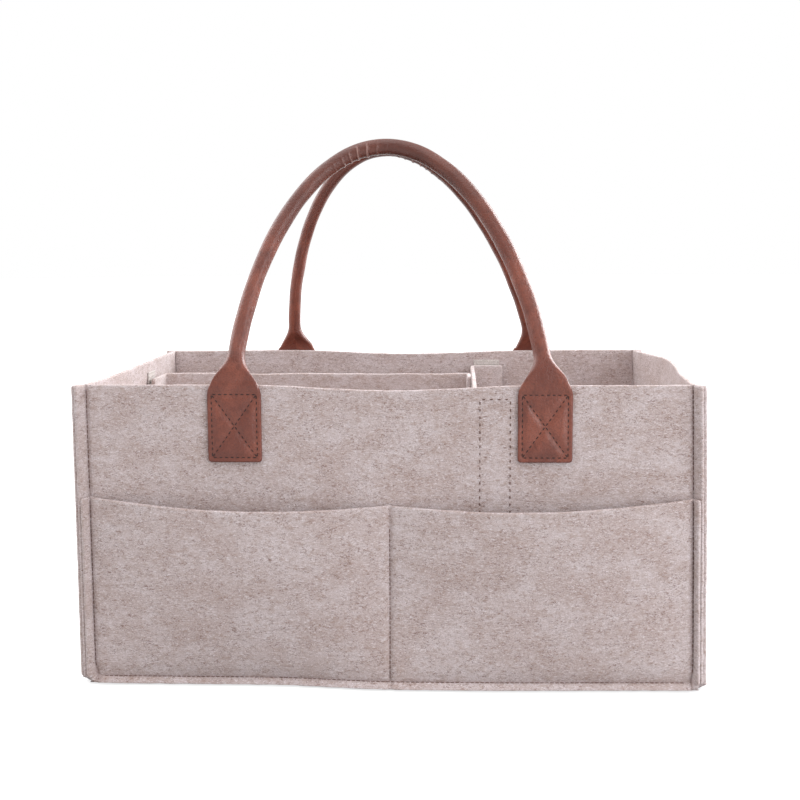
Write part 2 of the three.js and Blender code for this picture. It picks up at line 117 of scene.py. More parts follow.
def closed_sheet(columns: Sequence[float], rows: Sequence[float], place: SheetPlace,
                 rounding: float) -> Mesh:
    """Makes a closed sheet of cloth with rounded raw edges.

    Args:
        columns: the values that place takes across the sheet.
        rows: the values that place takes up the sheet.
        place: gives a point from a column, a row and whether it is on the outer skin.
        rounding: how much of each raw edge is rounded off.

    Returns:
        The mesh, with its faces outwards.
    """
    bm = bmesh.new()
    across, up = len(columns) - 1, len(rows) - 1
    bmesh.ops.create_grid(bm, x_segments=across, y_segments=up, size=0.5)
    made = bmesh.ops.extrude_face_region(bm, geom=bm.faces[:])
    for item in made["geom"]:
        if isinstance(item, bmesh.types.BMVert):
            item.co.z = 1.0
    raw_edges = [edge for edge in bm.edges if is_raw_edge(edge)]
    for vert in bm.verts:
        column = columns[round((vert.co.x + 0.5) * across)]
        row = rows[round((vert.co.y + 0.5) * up)]
        vert.co = place(column, row, vert.co.z > 0.5)
    bmesh.ops.recalc_face_normals(bm, faces=bm.faces[:])
    bmesh.ops.bevel(bm, geom=raw_edges, offset=rounding, segments=2, profile=0.5,
                    affect="EDGES", material=-1)
    return bm


def is_raw_edge(edge: bmesh.types.BMEdge) -> bool:
    """Whether an edge of the unit sheet runs along its rim, on one skin.

    Args:
        edge: the edge.

    Returns:
        Whether it does.
    """
    a, b = (vert.co for vert in edge.verts)
    if abs(a.z - b.z) > 0.5:
        return False
    return any(abs(a[axis] - b[axis]) < 0.001 and abs(abs(a[axis]) - 0.5) < 0.001
               for axis in (0, 1))


def tube(sides: int, stations: Sequence[float], place: TubePlace,
         outwards: bool = True, girth: TubeGirth = lambda station: 1.0,
         mark: TubeMark = lambda share, station: 0.0) -> Mesh:
    """Rolls a grid up into a tube, with a UV map that runs round it and along it.

    Args:
        sides: how many faces go round the tube.
        stations: the values that place takes along the tube, which are lengths in metres.
        place: gives a point from a share of the way round and a station. Where it draws a
            ring flat at an end, the two sides of the ring are sewn together.
        outwards: whether the faces look away from the tube's own middle.
        girth: how far the UV map runs round the tube at a station.
        mark: how much a point is marked for the painted highlight on a fold's crest, from 0 to 1.

    Returns:
        The mesh.
    """
    bm = bmesh.new()
    last = len(stations) - 1
    bmesh.ops.create_grid(bm, x_segments=sides, y_segments=last, size=0.5)
    layer = bm.loops.layers.uv.new("UVMap")
    for face in bm.faces:
        for loop in face.loops:
            station = stations[round((loop.vert.co.y + 0.5) * last)]
            loop[layer].uv = (loop.vert.co.x * girth(station), station)
    # This mark carries the painted highlight on the crests of the leather's folds.
    wear_and_fold_highlight = bm.verts.layers.float.new("wear_and_fold_highlight")
    for vert in bm.verts:
        share, station = vert.co.x + 0.5, stations[round((vert.co.y + 0.5) * last)]
        vert[wear_and_fold_highlight] = mark(share, station)
        vert.co = place(share, station)
    bmesh.ops.remove_doubles(bm, verts=bm.verts[:], dist=0.000002)
    open_edges = [edge for edge in bm.edges if edge.is_boundary]
    if open_edges:
        bmesh.ops.holes_fill(bm, edges=open_edges, sides=0)
    bmesh.ops.recalc_face_normals(bm, faces=bm.faces[:])
    if not outwards:
        bmesh.ops.reverse_faces(bm, faces=bm.faces[:])
    return bm


def join(bm: Mesh, other: Mesh) -> None:
    """Moves the faces of another mesh into this one.

    Args:
        bm: the mesh that it adds to.
        other: the mesh that is moved, which is freed.
    """
    carrier = bpy.data.meshes.new("carrier")
    other.to_mesh(carrier)
    other.free()
    bm.from_mesh(carrier)
    bpy.data.meshes.remove(carrier)


def as_piece(name: str, bm: Mesh, look: Look, levels: int = 0) -> Piece:
    """Turns a mesh into a finished object at the origin.

    Args:
        name: the piece's name.
        bm: the mesh, which is freed.
        look: its material.
        levels: how many times its faces are subdivided and smoothed.

    Returns:
        The object.
    """
    mesh = bpy.data.meshes.new(name)
    bm.to_mesh(mesh)
    bm.free()
    piece = bpy.data.objects.new(name, mesh)
    bpy.context.scene.collection.objects.link(piece)
    if levels:
        rounder = piece.modifiers.new("smooth", "SUBSURF")
        rounder.levels = rounder.render_levels = levels
        bpy.context.view_layer.update()
        graph = bpy.context.evaluated_depsgraph_get()
        piece.data = bpy.data.meshes.new_from_object(piece.evaluated_get(graph))
        piece.modifiers.clear()
        bpy.data.meshes.remove(mesh)
        piece.data.name = name
    piece.data.materials.clear()
    piece.data.materials.append(look)
    piece.data.shade_smooth()
    return piece


def rumple(piece: Piece, size: float, height: float) -> None:
    """Moves a piece's surface in and out in soft lumps.

    Args:
        piece: the object, whose mesh is final apart from this.
        size: how wide a lump is.
        height: how far the tallest lump stands out.
    """
    mesh = piece.data
    shifts = [vert.normal * (noise.noise(vert.co / size) * height) for vert in mesh.vertices]
    for vert, shift in zip(mesh.vertices, shifts):
        vert.co += shift
    mesh.update()


def settle(piece: Piece, slot: str, body: str, *nodes: str) -> Piece:
    """Says which nodes of the frame a piece stands for by hiding them, and the body that it rides
    on.

    Args:
        piece: the object.
        slot: its material slot; not used.
        body: the body.
        nodes: the nodes.

    Returns:
        The same object.
    """
    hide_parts(*nodes)
    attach(piece, body)
    return piece


# Materials

class NodeSheet:
    """Lays out the nodes of one material."""

    def __init__(self, name: str) -> None:
        """Starts a material with a Principled shader.

        Args:
            name: the material's name.
        """
        self.material = bpy.data.materials.new(name)
        self.material.use_nodes = True
        self.tree = self.material.node_tree
        self.shader = self.tree.nodes["Principled BSDF"]
        self.coordinates = self.tree.nodes.new("ShaderNodeTexCoord")

    def node(self, kind: str, **settings: object) -> bpy.types.Node:
        """Adds a node and sets its properties.

        Args:
            kind: the node's type.
            settings: its properties.

        Returns:
            The node.
        """
        made = self.tree.nodes.new(kind)
        for key, value in settings.items():
            setattr(made, key, value)
        return made

    def feed(self, socket: Socket, value: object) -> None:
        """Links an output to a socket, or sets the socket to a number or colour.

        Args:
            socket: the input.
            value: the output, number or colour.
        """
        if isinstance(value, Socket):
            self.tree.links.new(value, socket)
        else:
            socket.default_value = value

    def set(self, **values: object) -> None:
        """Sets or feeds the shader's sockets, named with underscores for spaces."""
        for key, value in values.items():
            self.feed(self.shader.inputs[key.replace("_", " ")], value)

    def place(self, stretch: Colour, source: str = "Object", turn: Colour = (0, 0, 0)) -> Socket:
        """Coordinates in metres, or of the UV map, with each axis multiplied and turned.

        Args:
            stretch: the factor on each axis.
            source: Object or UV.
            turn: the turn about each axis in radians.

        Returns:
            The coordinates.
        """
        mapping = self.node("ShaderNodeMapping")
        self.feed(mapping.inputs["Vector"], self.coordinates.outputs[source])
        self.feed(mapping.inputs["Scale"], stretch)
        self.feed(mapping.inputs["Rotation"], turn)
        return mapping.outputs["Vector"]

    def noise(self, vector: Socket, detail: float = 3.0, roughness: float = 0.55,
              distortion: float = 0.0) -> Socket:
        """Cloudy noise from 0 to 1, with one cloud to each unit of the coordinates.

        Args:
            vector: the coordinates.
            detail: how many octaves it has.
            roughness: how strong the finer octaves are.
            distortion: how much it is swirled.

        Returns:
            The noise.
        """
        made = self.node("ShaderNodeTexNoise")
        for key, value in {"Vector": vector, "Scale": 1.0, "Detail": detail,
                           "Roughness": roughness, "Distortion": distortion}.items():
            self.feed(made.inputs[key], value)
        return made.outputs["Fac"]

    def cells(self, vector: Socket, feature: str = "F1") -> Socket:
        """Distance to the nearest of scattered points, one to each unit of the coordinates.

        Args:
            vector: the coordinates.
            feature: which distance is measured.

        Returns:
            The distance.
        """
        made = self.node("ShaderNodeTexVoronoi", feature=feature)
        self.feed(made.inputs["Vector"], vector)
        self.feed(made.inputs["Scale"], 1.0)
        return made.outputs["Distance"]

    def ramp(self, value: Socket, low: float, high: float, to_low: float = 0.0,
             to_high: float = 1.0) -> Socket:
        """Maps low..high smoothly onto to_low..to_high, and holds it there beyond.

        Args:
            value: the value that is mapped.
            low: where the rise starts.
            high: where it ends.
            to_low: the result up to low.
            to_high: the result from high on.

        Returns:
            The result.
        """
        made = self.node("ShaderNodeMapRange", interpolation_type="SMOOTHSTEP")
        for key, number in zip(("Value", "From Min", "From Max", "To Min", "To Max"),
                               (value, low, high, to_low, to_high)):
            self.feed(made.inputs[key], number)
        return made.outputs["Result"]

    def sum(self, operation: str, a: object, b: object) -> Socket:
        """One step of arithmetic on two numbers or outputs.

        Args:
            operation: the kind of arithmetic.
            a: the first number.
            b: the second number.

        Returns:
            The result.
        """
        made = self.node("ShaderNodeMath", operation=operation)
        self.feed(made.inputs[0], a)
        self.feed(made.inputs[1], b)
        return made.outputs[0]

    def tint(self, share: object, low: object, high: object) -> Socket:
        """Mixes two colours by a share.

        Args:
            share: how much there is of the second colour.
            low: the first colour.
            high: the second colour.

        Returns:
            The mixed colour.
        """
        made = self.node("ShaderNodeMix", data_type="RGBA")
        self.feed(made.inputs[0], share)
        for index, colour in ((6, low), (7, high)):
            self.feed(made.inputs[index], (*colour, 1.0) if isinstance(colour, tuple) else colour)
        return made.outputs[2]

    def layer(self, base: object, layers: Sequence[Layer]) -> Socket:
        """Lays colours over a base.

        Args:
            base: the colour underneath.
            layers: for each colour its pattern, the two values between which it comes in, how
                much of it there is at the most, and the colour.

        Returns:
            The mixed colour.
        """
        for pattern, low, high, most, colour in layers:
            base = self.tint(self.ramp(pattern, low, high, to_high=most), base, colour)
        return base

    def bump(self, height: Socket, depth: float, under: Socket | None = None) -> Socket:
        """Turns a height from 0 to 1 into relief of a depth in metres.

        Args:
            height: the height.
            depth: how deep the relief is.
            under: coarser relief that it lies on.

        Returns:
            The normal.
        """
        made = self.node("ShaderNodeBump")
        self.feed(made.inputs["Height"], height)
        self.feed(made.inputs["Distance"], depth)
        if under is not None:
            self.feed(made.inputs["Normal"], under)
        return made.outputs["Normal"]


@dataclass(frozen=True)
class MelangeFelt:
    """Pressed felt of mixed pale and brown fibres that lie mostly level."""

    name: str
    ground: Colour = (0.550, 0.440, 0.420)
    pale: Colour = (0.780, 0.705, 0.720)
    warm: Colour = (0.400, 0.275, 0.225)
    fleck: Colour = (0.200, 0.110, 0.085)
    fleck_share: float = 0.75
    relief: float = 0.00035

    def make(self) -> Look:
        """Builds the material.

        Returns:
            The material.
        """
        sheet = NodeSheet(self.name)
        drift = sheet.noise(sheet.place((40, 40, 60)), detail=3, roughness=0.6)
        cloud = sheet.noise(sheet.place((230, 230, 420)), detail=3, roughness=0.65)
        strand = sheet.noise(sheet.place((520, 520, 1500)), detail=3, roughness=0.7, distortion=0.8)
        fine = sheet.noise(sheet.place((1500, 1500, 2600)), detail=2, roughness=0.8)
        fibre = sheet.noise(sheet.place((560, 560, 1350)), detail=3, roughness=0.75, distortion=1.2)
        tuft = sheet.noise(sheet.place((110, 110, 150)), detail=3, roughness=0.7)
        base = sheet.layer(self.ground, ((drift, 0.34, 0.66, 0.50, self.pale),
                                         (cloud, 0.47, 0.66, 0.50, self.warm),
                                         (strand, 0.50, 0.64, 0.85, self.pale),
                                         (fine, 0.51, 0.62, 0.55, self.warm)))
        flecks = sheet.sum("MULTIPLY", sheet.ramp(fibre, 0.53, 0.60),
                           sheet.ramp(tuft, 0.38, 0.60, to_low=0.30))
        base = sheet.tint(sheet.sum("MULTIPLY", flecks, self.fleck_share), base, self.fleck)
        lumps = sheet.bump(cloud, self.relief * 1.6)
        hairs = sheet.sum("ADD", sheet.sum("MULTIPLY", strand, 0.6), fine)
        sheet.set(Base_Color=base, Roughness=0.96, Specular_IOR_Level=0.12, Sheen_Weight=0.22,
                  Sheen_Roughness=0.55, Normal=sheet.bump(hairs, self.relief, lumps))
        return sheet.material


@dataclass(frozen=True)
class GrainedLeather:
    """Soft satin leather with a fine pebbled grain, with painted shade darkening the middle of the
    strip at the arch's top and a painted highlight on the crests of its folds."""

    name: str
    middle: float
    ground: Colour = (0.143, 0.033, 0.019)
    rubbed: Colour = (0.240, 0.063, 0.036)
    # The dark colour gives the patchy tone and the grain, and also the painted shade at the arch's
    # top.
    dark: Colour = (0.066, 0.0165, 0.010)
    # The crest colour is a painted highlight on the folds' crests, where light catches them.
    crest: Colour = (0.46, 0.27, 0.23)

    def make(self) -> Look:
        """Builds the material, on a UV map in metres round the strip and along it.

        Returns:
            The material.
        """
        sheet = NodeSheet(self.name)
        drift = sheet.noise(sheet.place((45, 34, 1), "UV"), detail=4, roughness=0.6)
        patch = sheet.noise(sheet.place((190, 120, 1), "UV"), detail=5, roughness=0.65)
        pebble = sheet.cells(sheet.place((1500, 1500, 1), "UV"))
        crease = sheet.cells(sheet.place((420, 300, 1), "UV"), feature="DISTANCE_TO_EDGE")
        pores = sheet.noise(sheet.place((2600, 2600, 1), "UV"), detail=2)
        base = sheet.layer(self.ground, ((drift, 0.36, 0.66, 1.0, self.rubbed),
                                         (patch, 0.50, 0.74, 0.55, self.dark),
                                         (pebble, 0.45, 0.85, 0.35, self.dark)))
        # Painted shade: the middle of the strip, at the arch's top, is mixed towards the dark
        # colour.
        base = sheet.tint(self.painted_apex_shade(sheet), base, self.dark)
        # Painted highlight: a paler colour on the crests of the folds.
        wear_and_fold_highlight = sheet.node("ShaderNodeAttribute", attribute_name="wear_and_fold_highlight")
        base = sheet.layer(base, ((wear_and_fold_highlight.outputs["Fac"], 0.35, 0.95, 0.55, self.crest),))
        gloss = sheet.ramp(patch, 0.30, 0.72, to_low=0.26, to_high=0.42)
        folds = sheet.bump(sheet.ramp(crease, 0.0, 0.12), 0.00007)
        grain = sheet.sum("ADD", sheet.ramp(pebble, 0.0, 0.9, to_low=1.0, to_high=0.0),
                          sheet.sum("MULTIPLY", pores, 0.5))
        sheet.set(Base_Color=base, Roughness=gloss, Specular_IOR_Level=0.42, Coat_Weight=0.08,
                  Coat_Roughness=0.25, Normal=sheet.bump(grain, 0.00005, folds))
        return sheet.material

    def painted_apex_shade(self, sheet: NodeSheet) -> Socket:
        """How much painted shade darkens the leather: most in the middle of the strip, at the
        arch's top.

        Args:
            sheet: the material's nodes.

        Returns:
            The share.
        """
        parts = sheet.node("ShaderNodeSeparateXYZ")
        sheet.feed(parts.inputs[0], sheet.coordinates.outputs["UV"])
        away = sheet.sum("ABSOLUTE", sheet.sum("SUBTRACT", parts.outputs["Y"], self.middle), 0.0)
        return sheet.ramp(away, 0.035, 0.125, to_low=0.60, to_high=0.0)


@dataclass(frozen=True)
class Yarn:
    """Spun thread, cord or pile in one colour, a little uneven along its length."""

    name: str
    ground: Colour
    shade: Colour
    strand: float = 2600.0
    relief: float = 0.00012
    roughness: float = 0.85

    def make(self) -> Look:
        """Builds the material.

        Returns:
            The material.
        """
        sheet = NodeSheet(self.name)
        turned = sheet.place((self.strand, self.strand, self.strand * 0.35), turn=(0.5, 0.6, 0.2))
        spun = sheet.noise(turned, detail=3, roughness=0.7)
        wear_and_fold_highlight = sheet.noise(sheet.place((150, 150, 150)), detail=3)
        share = sheet.sum("MULTIPLY", sheet.ramp(spun, 0.35, 0.65),
                          sheet.ramp(wear_and_fold_highlight, 0.2, 0.6, to_low=0.4))
        sheet.set(Base_Color=sheet.tint(share, self.shade, self.ground), Roughness=self.roughness,
                  Specular_IOR_Level=0.25, Sheen_Weight=0.15, Normal=sheet.bump(spun, self.relief))
        return sheet.material


# The body's shape

class Option(Enum):
    """A named option whose word is part of the names of pieces."""

    @property
    def title(self) -> str:
        """The option's word."""
        return self.name.lower()


class Side(Option):
    """The two ends of a wall, as they lie on X."""

    LEFT = -1
    RIGHT = 1


class Panel(Option):
    """The two upright felt panels at each wall, with what their nodes' names end in."""

    WALL = "panel"
    POCKET = "pocket_panel"


class Tape(Option):
    """The two halves of a hook-and-loop fastening, with the body that each rides on."""

    LOOP = "caddy_body"
    HOOK = "divider_insert"


class Wall(Option):
    """The four walls, each numbered by its quarter turns from the front."""

    FRONT = 0
    RIGHT = 1
    BACK = 2
    LEFT = 3

    @property
    def facing(self) -> int:
        """1 where the wall is drawn with its left on the box's left, or else -1."""
        return 1 if self is Wall.FRONT else -1

    @property
    def is_long(self) -> bool:
        """Whether the wall runs along X and has a handle."""
        return self.value % 2 == 0

    def point(self, along: float, out: float, height: float) -> Vector:
        """Turns a point that is drawn on the front wall round to this one.

        Args:
            along: its X on the front wall.
            out: how far it lies out from the middle.
            height: its Z.

        Returns:
            The point.
        """
        x, y = along, -out
        for _ in range(self.value):
            x, y = -y, x
        return Vector((x, y, height))


@dataclass(frozen=True)
class Slump:
    """How the standing box leans and bows away from true, most of all at its rim."""

    rim: float
    power: float = 1.6
    side_start: float = 0.110
    side_reach: float = 0.070
    right_bow: float = 0.0065
    right_bow_y: float = 0.030
    right_bow_reach: float = 0.100
    corner_draw: float = 0.0060
    corner_start: float = 0.040
    corner_reach: float = 0.080
    front_draw: float = 0.0033
    front_start: float = 0.030
    front_reach: float = 0.090
    left_draw: float = 0.0022
    left_half: float = 0.122
    foot_bow: float = 0.0072
    foot_bow_height: float = 0.065
    foot_bow_power: float = 1.5
    foot_bow_start: float = -0.078
    foot_bow_reach: float = 0.085
    foot_fade: float = 0.5
    foot_fade_start: float = 0.040
    foot_fade_reach: float = 0.140
    wave: float = 0.0007
    wave_length: float = 0.085

    def move(self, point: Vector, keep: float = 1.0, travel: float = 0.0) -> Vector:
        """Carries a point of the true box to where the slumped one has it.

        Args:
            point: the true place.
            keep: how much of the movement is used, for what leaves the box above its rim.
            travel: how far up a piece slides, which stays clear of the leaning walls on its way.

        Returns:
            The moved point.
        """
        lift = min(1.0, max(0.0, (point.z + travel) / self.rim)) ** self.power * keep
        near_right = ease(point.x, self.side_start, self.side_reach)
        near_left = ease(-point.x, self.side_start, self.side_reach)
        bow = max(0.0, 1 - ((point.y - self.right_bow_y) / self.right_bow_reach) ** 2) ** 2
        corner = ease(point.y, self.corner_start, self.corner_reach)
        nearer = ease(-point.y, self.front_start, self.front_reach)
        pull = self.right_bow * bow - self.corner_draw * corner - self.front_draw * nearer
        middle = max(0.0, 1 - (point.y / self.left_half) ** 2)
        shift = Vector((near_right * pull + near_left * self.left_draw * middle, 0,
                        noise.noise(point / self.wave_length) * self.wave))
        return point + shift * lift - Vector((0, self.bow_of_foot(point, travel), 0))

    def bow_of_foot(self, point: Vector, travel: float = 0.0) -> float:
        """How far the front stands out at its foot, from left of its middle on to the right.

        Args:
            point: the true place.
            travel: how far up a piece slides.

        Returns:
            The distance.
        """
        low = max(0.0, 1 - (point.z + travel) / self.foot_bow_height) ** self.foot_bow_power
        near = ease(-point.y, self.corner_start, self.corner_reach)
        fade = 1 - self.foot_fade * ease(point.x, self.foot_fade_start, self.foot_fade_reach)
        along = ease(point.x, self.foot_bow_start, self.foot_bow_reach) * fade
        return self.foot_bow * low * near * along


@dataclass(frozen=True)
class FeltBody:
    """The felt box: base, walls and pockets, each with raw edges in its turned-out seams."""

    felt: float = 0.003
    pressed: float = 0.002
    gap: float = 0.0003
    half_x: float = 0.182
    half_y: float = 0.122
    rim: float = 0.184
    rim_sag: float = 0.003
    sag_reach: float = 0.0925
    allowance: float = 0.009
    long_pocket_allowance: float = 0.0088
    short_pocket_allowance: float = 0.0060
    left_corner_extra: float = 0.0007
    flange_foot_round: float = 0.0018
    flange_foot: float = 0.006
    base_flare: float = 0.0038
    base_over: float = 0.0001
    base_rounding: float = 0.12
    pocket_corner: float = 0.1165
    pocket_middle: float = 0.1105
    pocket_centre: float = 0.112
    long_bulge: float = 0.012
    short_bulge: float = 0.010
    fullness: float = 0.8
    seam_depth: float = 0.0016
    seam_width: float = 0.0011
    groove_depth: float = 0.0021
    groove_width: float = 0.0009
    foot_groove: float = 0.0012
    spring: float = 0.38
    left_inset: float = 0.0011
    right_inset: float = 0.0006
    stitch: float = 0.0027
    pitch: float = 0.0030
    thread: float = 0.00034
    step: float = 0.0046
    lump_height: float = 0.00022

    @cached_property
    def slump(self) -> Slump:
        """The lean and bows that all of the body's pieces share."""
        return Slump(rim=self.rim)

    @property
    def left_corner(self) -> tuple[tuple[Wall, float], tuple[Wall, float]]:
        """The two walls' ends that meet in the front left corner, which is cut a little wider."""
        return (Wall.FRONT, -1.0), (Wall.LEFT, 1.0)

    def half(self, wall: Wall) -> float:
        """Half the distance between the inner faces of a wall's two neighbours."""
        return self.half_x if wall.is_long else self.half_y

    def inner(self, wall: Wall) -> float:
        """The distance of a wall's inner face from the middle."""
        return self.half_y if wall.is_long else self.half_x

    def bend(self, wall: Wall, stand: float, lay: float) -> float:
        """Where a skin turns out into its corner seam."""
        return self.half(wall) + stand - self.gap * DIAGONAL - lay / DIAGONAL

    def foot(self, wall: Wall, stand: float, lay: float) -> tuple[float, float, float]:
        """The flared foot of a skin: how far out it ends, how high, and where the flare starts.

        Args:
            wall: the wall.
            stand: how far out the skin stands above the flare.
            lay: how high its foot lies over the skin inside it.

        Returns:
            The three distances.
        """
        line = self.inner(wall) + self.base_flare + (self.gap + lay) / DIAGONAL
        low = self.gap + lay / 4
        return line - low, low, line - self.inner(wall) - stand

    def rim_height(self, wall: Wall, along: float) -> float:
        """The height of a wall's rim, which sags between the handles.

        Args:
            wall: the wall.
            along: how far along the wall from its middle.

        Returns:
            The height.
        """
        share = min(1.0, abs(along) / self.sag_reach)
        sag = self.rim_sag if wall.is_long else 0.0
        return self.rim - sag * math.cos(share * math.pi / 2) ** 2

    def pocket_height(self, share: float) -> float:
        """The height of a pocket's mouth at a share of the way to its corner seam.

        Args:
            share: the share of the way from the middle seam.

        Returns:
            The height.
        """
        ends = mix(self.pocket_centre, self.pocket_corner, abs(share))
        dip = (self.pocket_centre + self.pocket_corner) / 2 - self.pocket_middle
        return ends - dip * math.sin(abs(share) * math.pi)

    def pocket_bulge(self, wall: Wall, share: float, climb: float) -> float:
        """How far a pocket stands out between its seams.

        Args:
            wall: the wall.
            share: the share of the way from the middle seam.
            climb: the share of the pocket's height.

        Returns:
            The distance.
        """
        deep = self.long_bulge if wall.is_long else self.short_bulge
        across = max(0.0, math.sin(min(1.0, abs(share)) * math.pi)) ** self.fullness
        return deep * across * math.sin(max(0.0, climb) * math.pi / 2) ** self.fullness

    def groove(self, wall: Wall, side: float, to_corner: float, to_foot: float,
               flange: float) -> tuple[float, float, float]:
        """How far the seams draw an outer skin in.

        Args:
            wall: the wall that the skin belongs to.
            side: -1 or 1 for the nearer corner.
            to_corner: the distance to the corner's bend.
            to_foot: the distance to the foot's bend.
            flange: how far along the corner's flange, from 0 to 1.

        Returns:
            The movement along the wall, outwards and up.
        """
        corner = self.groove_depth * dent(to_corner, self.groove_width)
        foot = self.foot_groove * dent(to_foot, self.groove_width) * (1 - smooth(flange * 2))
        return side * SEAM_ALONG * corner, -SEAM_OUT * max(corner, foot), -SEAM_ALONG * foot

    def skin(self, wall: Wall, column: float, row: float, stand: float, lay: float, top: float,
             allowance: float, bulge: float = 0.0, outer: bool = False,
             inset: float = 0.0) -> Vector:
        """Places a point of one skin of a panel.

        Args:
            wall: the wall that the panel belongs to.
            column: from -1 to 1 between the corner bends, and on to -2 or 2 along the flanges.
            row: from 0 at the foot's bend to 1 at the top, and down to -1 at the foot's end.
            stand: how far the skin stands out from the wall's inner face.
            lay: how far the skin lies from the seam's middle plane.
            top: the height of the panel's upper edge here.
            allowance: how wide the seam's flange is.
            bulge: how far the panel is filled out here.
            outer: whether the seams' grooves show on this skin.
            inset: how much further in than the corner the panel is sewn.

        Returns:
            The point, on the slumped box.
        """
        side = -1.0 if column < 0 else 1.0
        share, flange = min(1.0, abs(column)), max(0.0, abs(column) - 1)
        inner = self.inner(wall)
        foot_out, foot_low, foot_bend = self.foot(wall, stand, lay)
        flat_out = mix(foot_out, inner + stand, min(1.0, row + 1)) + bulge
        height = mix(foot_low, foot_bend, row + 1) if row < 0 else mix(foot_bend, top, row)
        along = share * (self.bend(wall, stand, lay) - inset)
        if flange:
            spring = self.spring * smooth(flange * 2.2) * smooth(height / self.flange_foot)
            sprung = lay * (1 + spring)
            across = self.gap / 2 * DIAGONAL + sprung * DIAGONAL
            cut = allowance + (self.left_corner_extra if (wall, side) in self.left_corner else 0.0)
            end_out = inner + cut * DIAGONAL + across
            rise = smooth((height - foot_low) / (self.flange_foot - foot_low))
            end_out = mix(foot_out, end_out, rise)
            end_along = self.half(wall) + end_out - inner - 2 * across
            height += self.flange_foot_round * (1 - rise) * flange
            along, flat_out = mix(along, end_along, flange), mix(flat_out, end_out, flange)
        along *= side
        if outer:
            to_corner = flange * allowance if flange else (1 - share) * self.half(wall)
            to_foot = row * (top - foot_bend) if row > 0 else -row * foot_bend * 1.4
            shift = self.groove(wall, side, to_corner, to_foot, flange)
            along, flat_out, height = along + shift[0], flat_out + shift[1], height + shift[2]
        return self.slump.move(wall.point(along, flat_out, height))

    def wall_point(self, wall: Wall, column: float, row: float, outer: bool) -> Vector:
        """Places a point of a wall.

        Args:
            wall: the wall.
            column: from -1 to 1 between the corner bends, and on along the flanges.
            row: from 0 at the foot's bend to 1 at the top, and down to -1.
            outer: whether it is on the outer skin.

        Returns:
            The point.
        """
        stand, lay = (self.felt, self.pressed) if outer else (0.0, 0.0)
        along = min(1.0, abs(column)) * self.half(wall)
        return self.skin(wall, column, row, stand, lay, self.rim_height(wall, along),
                         self.allowance, outer=outer)

    def pocket_point(self, wall: Wall, column: float, row: float, outer: bool) -> Vector:
        """Places a point of a pocket's panel, which its seams press thin and draw in.

        Args:
            wall: the wall.
            column: from -1 to 1 between the corner bends, and on along the flanges.
            row: from 0 at the foot's bend to 1 at the top, and down to -1.
            outer: whether it is on the outer skin.

        Returns:
            The point.
        """
        thick = mix(self.pressed, self.felt, smooth(row * 12))
        stand = self.felt + self.gap + (thick if outer else 0.0)
        lay = self.pressed + self.gap + (self.pressed if outer else 0.0)
        share = min(1.0, abs(column))
        bulge = self.pocket_bulge(wall, share, row)
        if outer:
            bulge -= self.seam_depth * dent(column * self.half(wall), self.seam_width)
        inset = self.pocket_inset(wall, column)
        return self.skin(wall, column, row, stand, lay, self.pocket_height(share),
                         self.pocket_allowance(wall), bulge, outer, inset)

    def pocket_allowance(self, wall: Wall) -> float:
        """How wide the flanges of a pocket's panel are."""
        return self.long_pocket_allowance if wall.is_long else self.short_pocket_allowance

    def pocket_inset(self, wall: Wall, column: float) -> float:
        """How far in from the wall's own corner seam a pocket was sewn by hand."""
        is_left = (column < 0) == (wall in (Wall.FRONT, Wall.RIGHT))
        return (self.left_inset if is_left else self.right_inset) * smooth(abs(column) * 4)

    def columns(self, wall: Wall) -> list[float]:
        """Columns across a panel, closer together at its seams.

        Args:
            wall: the wall.

        Returns:
            The columns, from -2 to 2.
        """
        half = self.half(wall)
        seam = [0.0008 / half, 0.0018 / half, 0.0034 / half]
        count = round((half - 0.014) / self.step)
        middle = [0.0, *seam, *spread(0.0062 / half, 1 - 0.0066 / half, count)]
        bend = [1 - away / half for away in (0.0042, 0.0026, 0.0015, 0.0007)]
        side = [*middle, *bend, 1.0, 1.07, 1.15, 1.26, 1.42, 1.62, 1.82, 2.0]
        return [-value for value in reversed(side[1:])] + side

    def rows(self, top: float) -> list[float]:
        """Rows up a panel of a height, closer together at its foot and its upper edge.

        Args:
            top: the panel's height.

        Returns:
            The rows, from -1 to 1.
        """
        low = [-1.0, -0.75, -0.5, -0.3, -0.15, 0.0]
        near = [away / top for away in (0.0007, 0.0015, 0.0026, 0.0045, 0.0075)]
        count = round((top - 0.018) / self.step)
        return [*low, *near, *spread(0.0115 / top, 1 - 0.0035 / top, count), 1.0]

    def make_panel(self, wall: Wall, panel: Panel, look: Look) -> Piece:
        """Builds a wall, or the pair of pockets on it, which are one panel with a seam between.

        Args:
            wall: the wall.
            panel: the wall itself or its pockets.
            look: the felt.

        Returns:
            The piece.
        """
        if panel is Panel.WALL:
            place, top = self.wall_point, self.rim
        else:
            place, top = self.pocket_point, self.pocket_corner
        bm = closed_sheet(self.columns(wall), self.rows(top),
                          lambda column, row, outer: place(wall, column, row, outer),
                          self.felt * RAW_EDGE)
        piece = as_piece(f"{wall.title}_{panel.title}_felt", bm, look, levels=1)
        rumple(piece, LUMP, self.lump_height)
        return settle(piece, "felt", "caddy_body", f"{wall.title}_{panel.value}")

    def make_base(self, look: Look) -> Piece:
        """Builds the base, a flat plate of felt whose edge the walls flare over.

        Args:
            look: its material.

        Returns:
            The piece.
        """
        edge = [0.975, 0.987, 0.994, 0.998, 1.0]

        def shares(count: int) -> list[float]:
            """Shares of the plate's half width or depth, closer together at its edges."""
            return [*(-share for share in reversed(edge)), *spread(-0.96, 0.96, count), *edge]

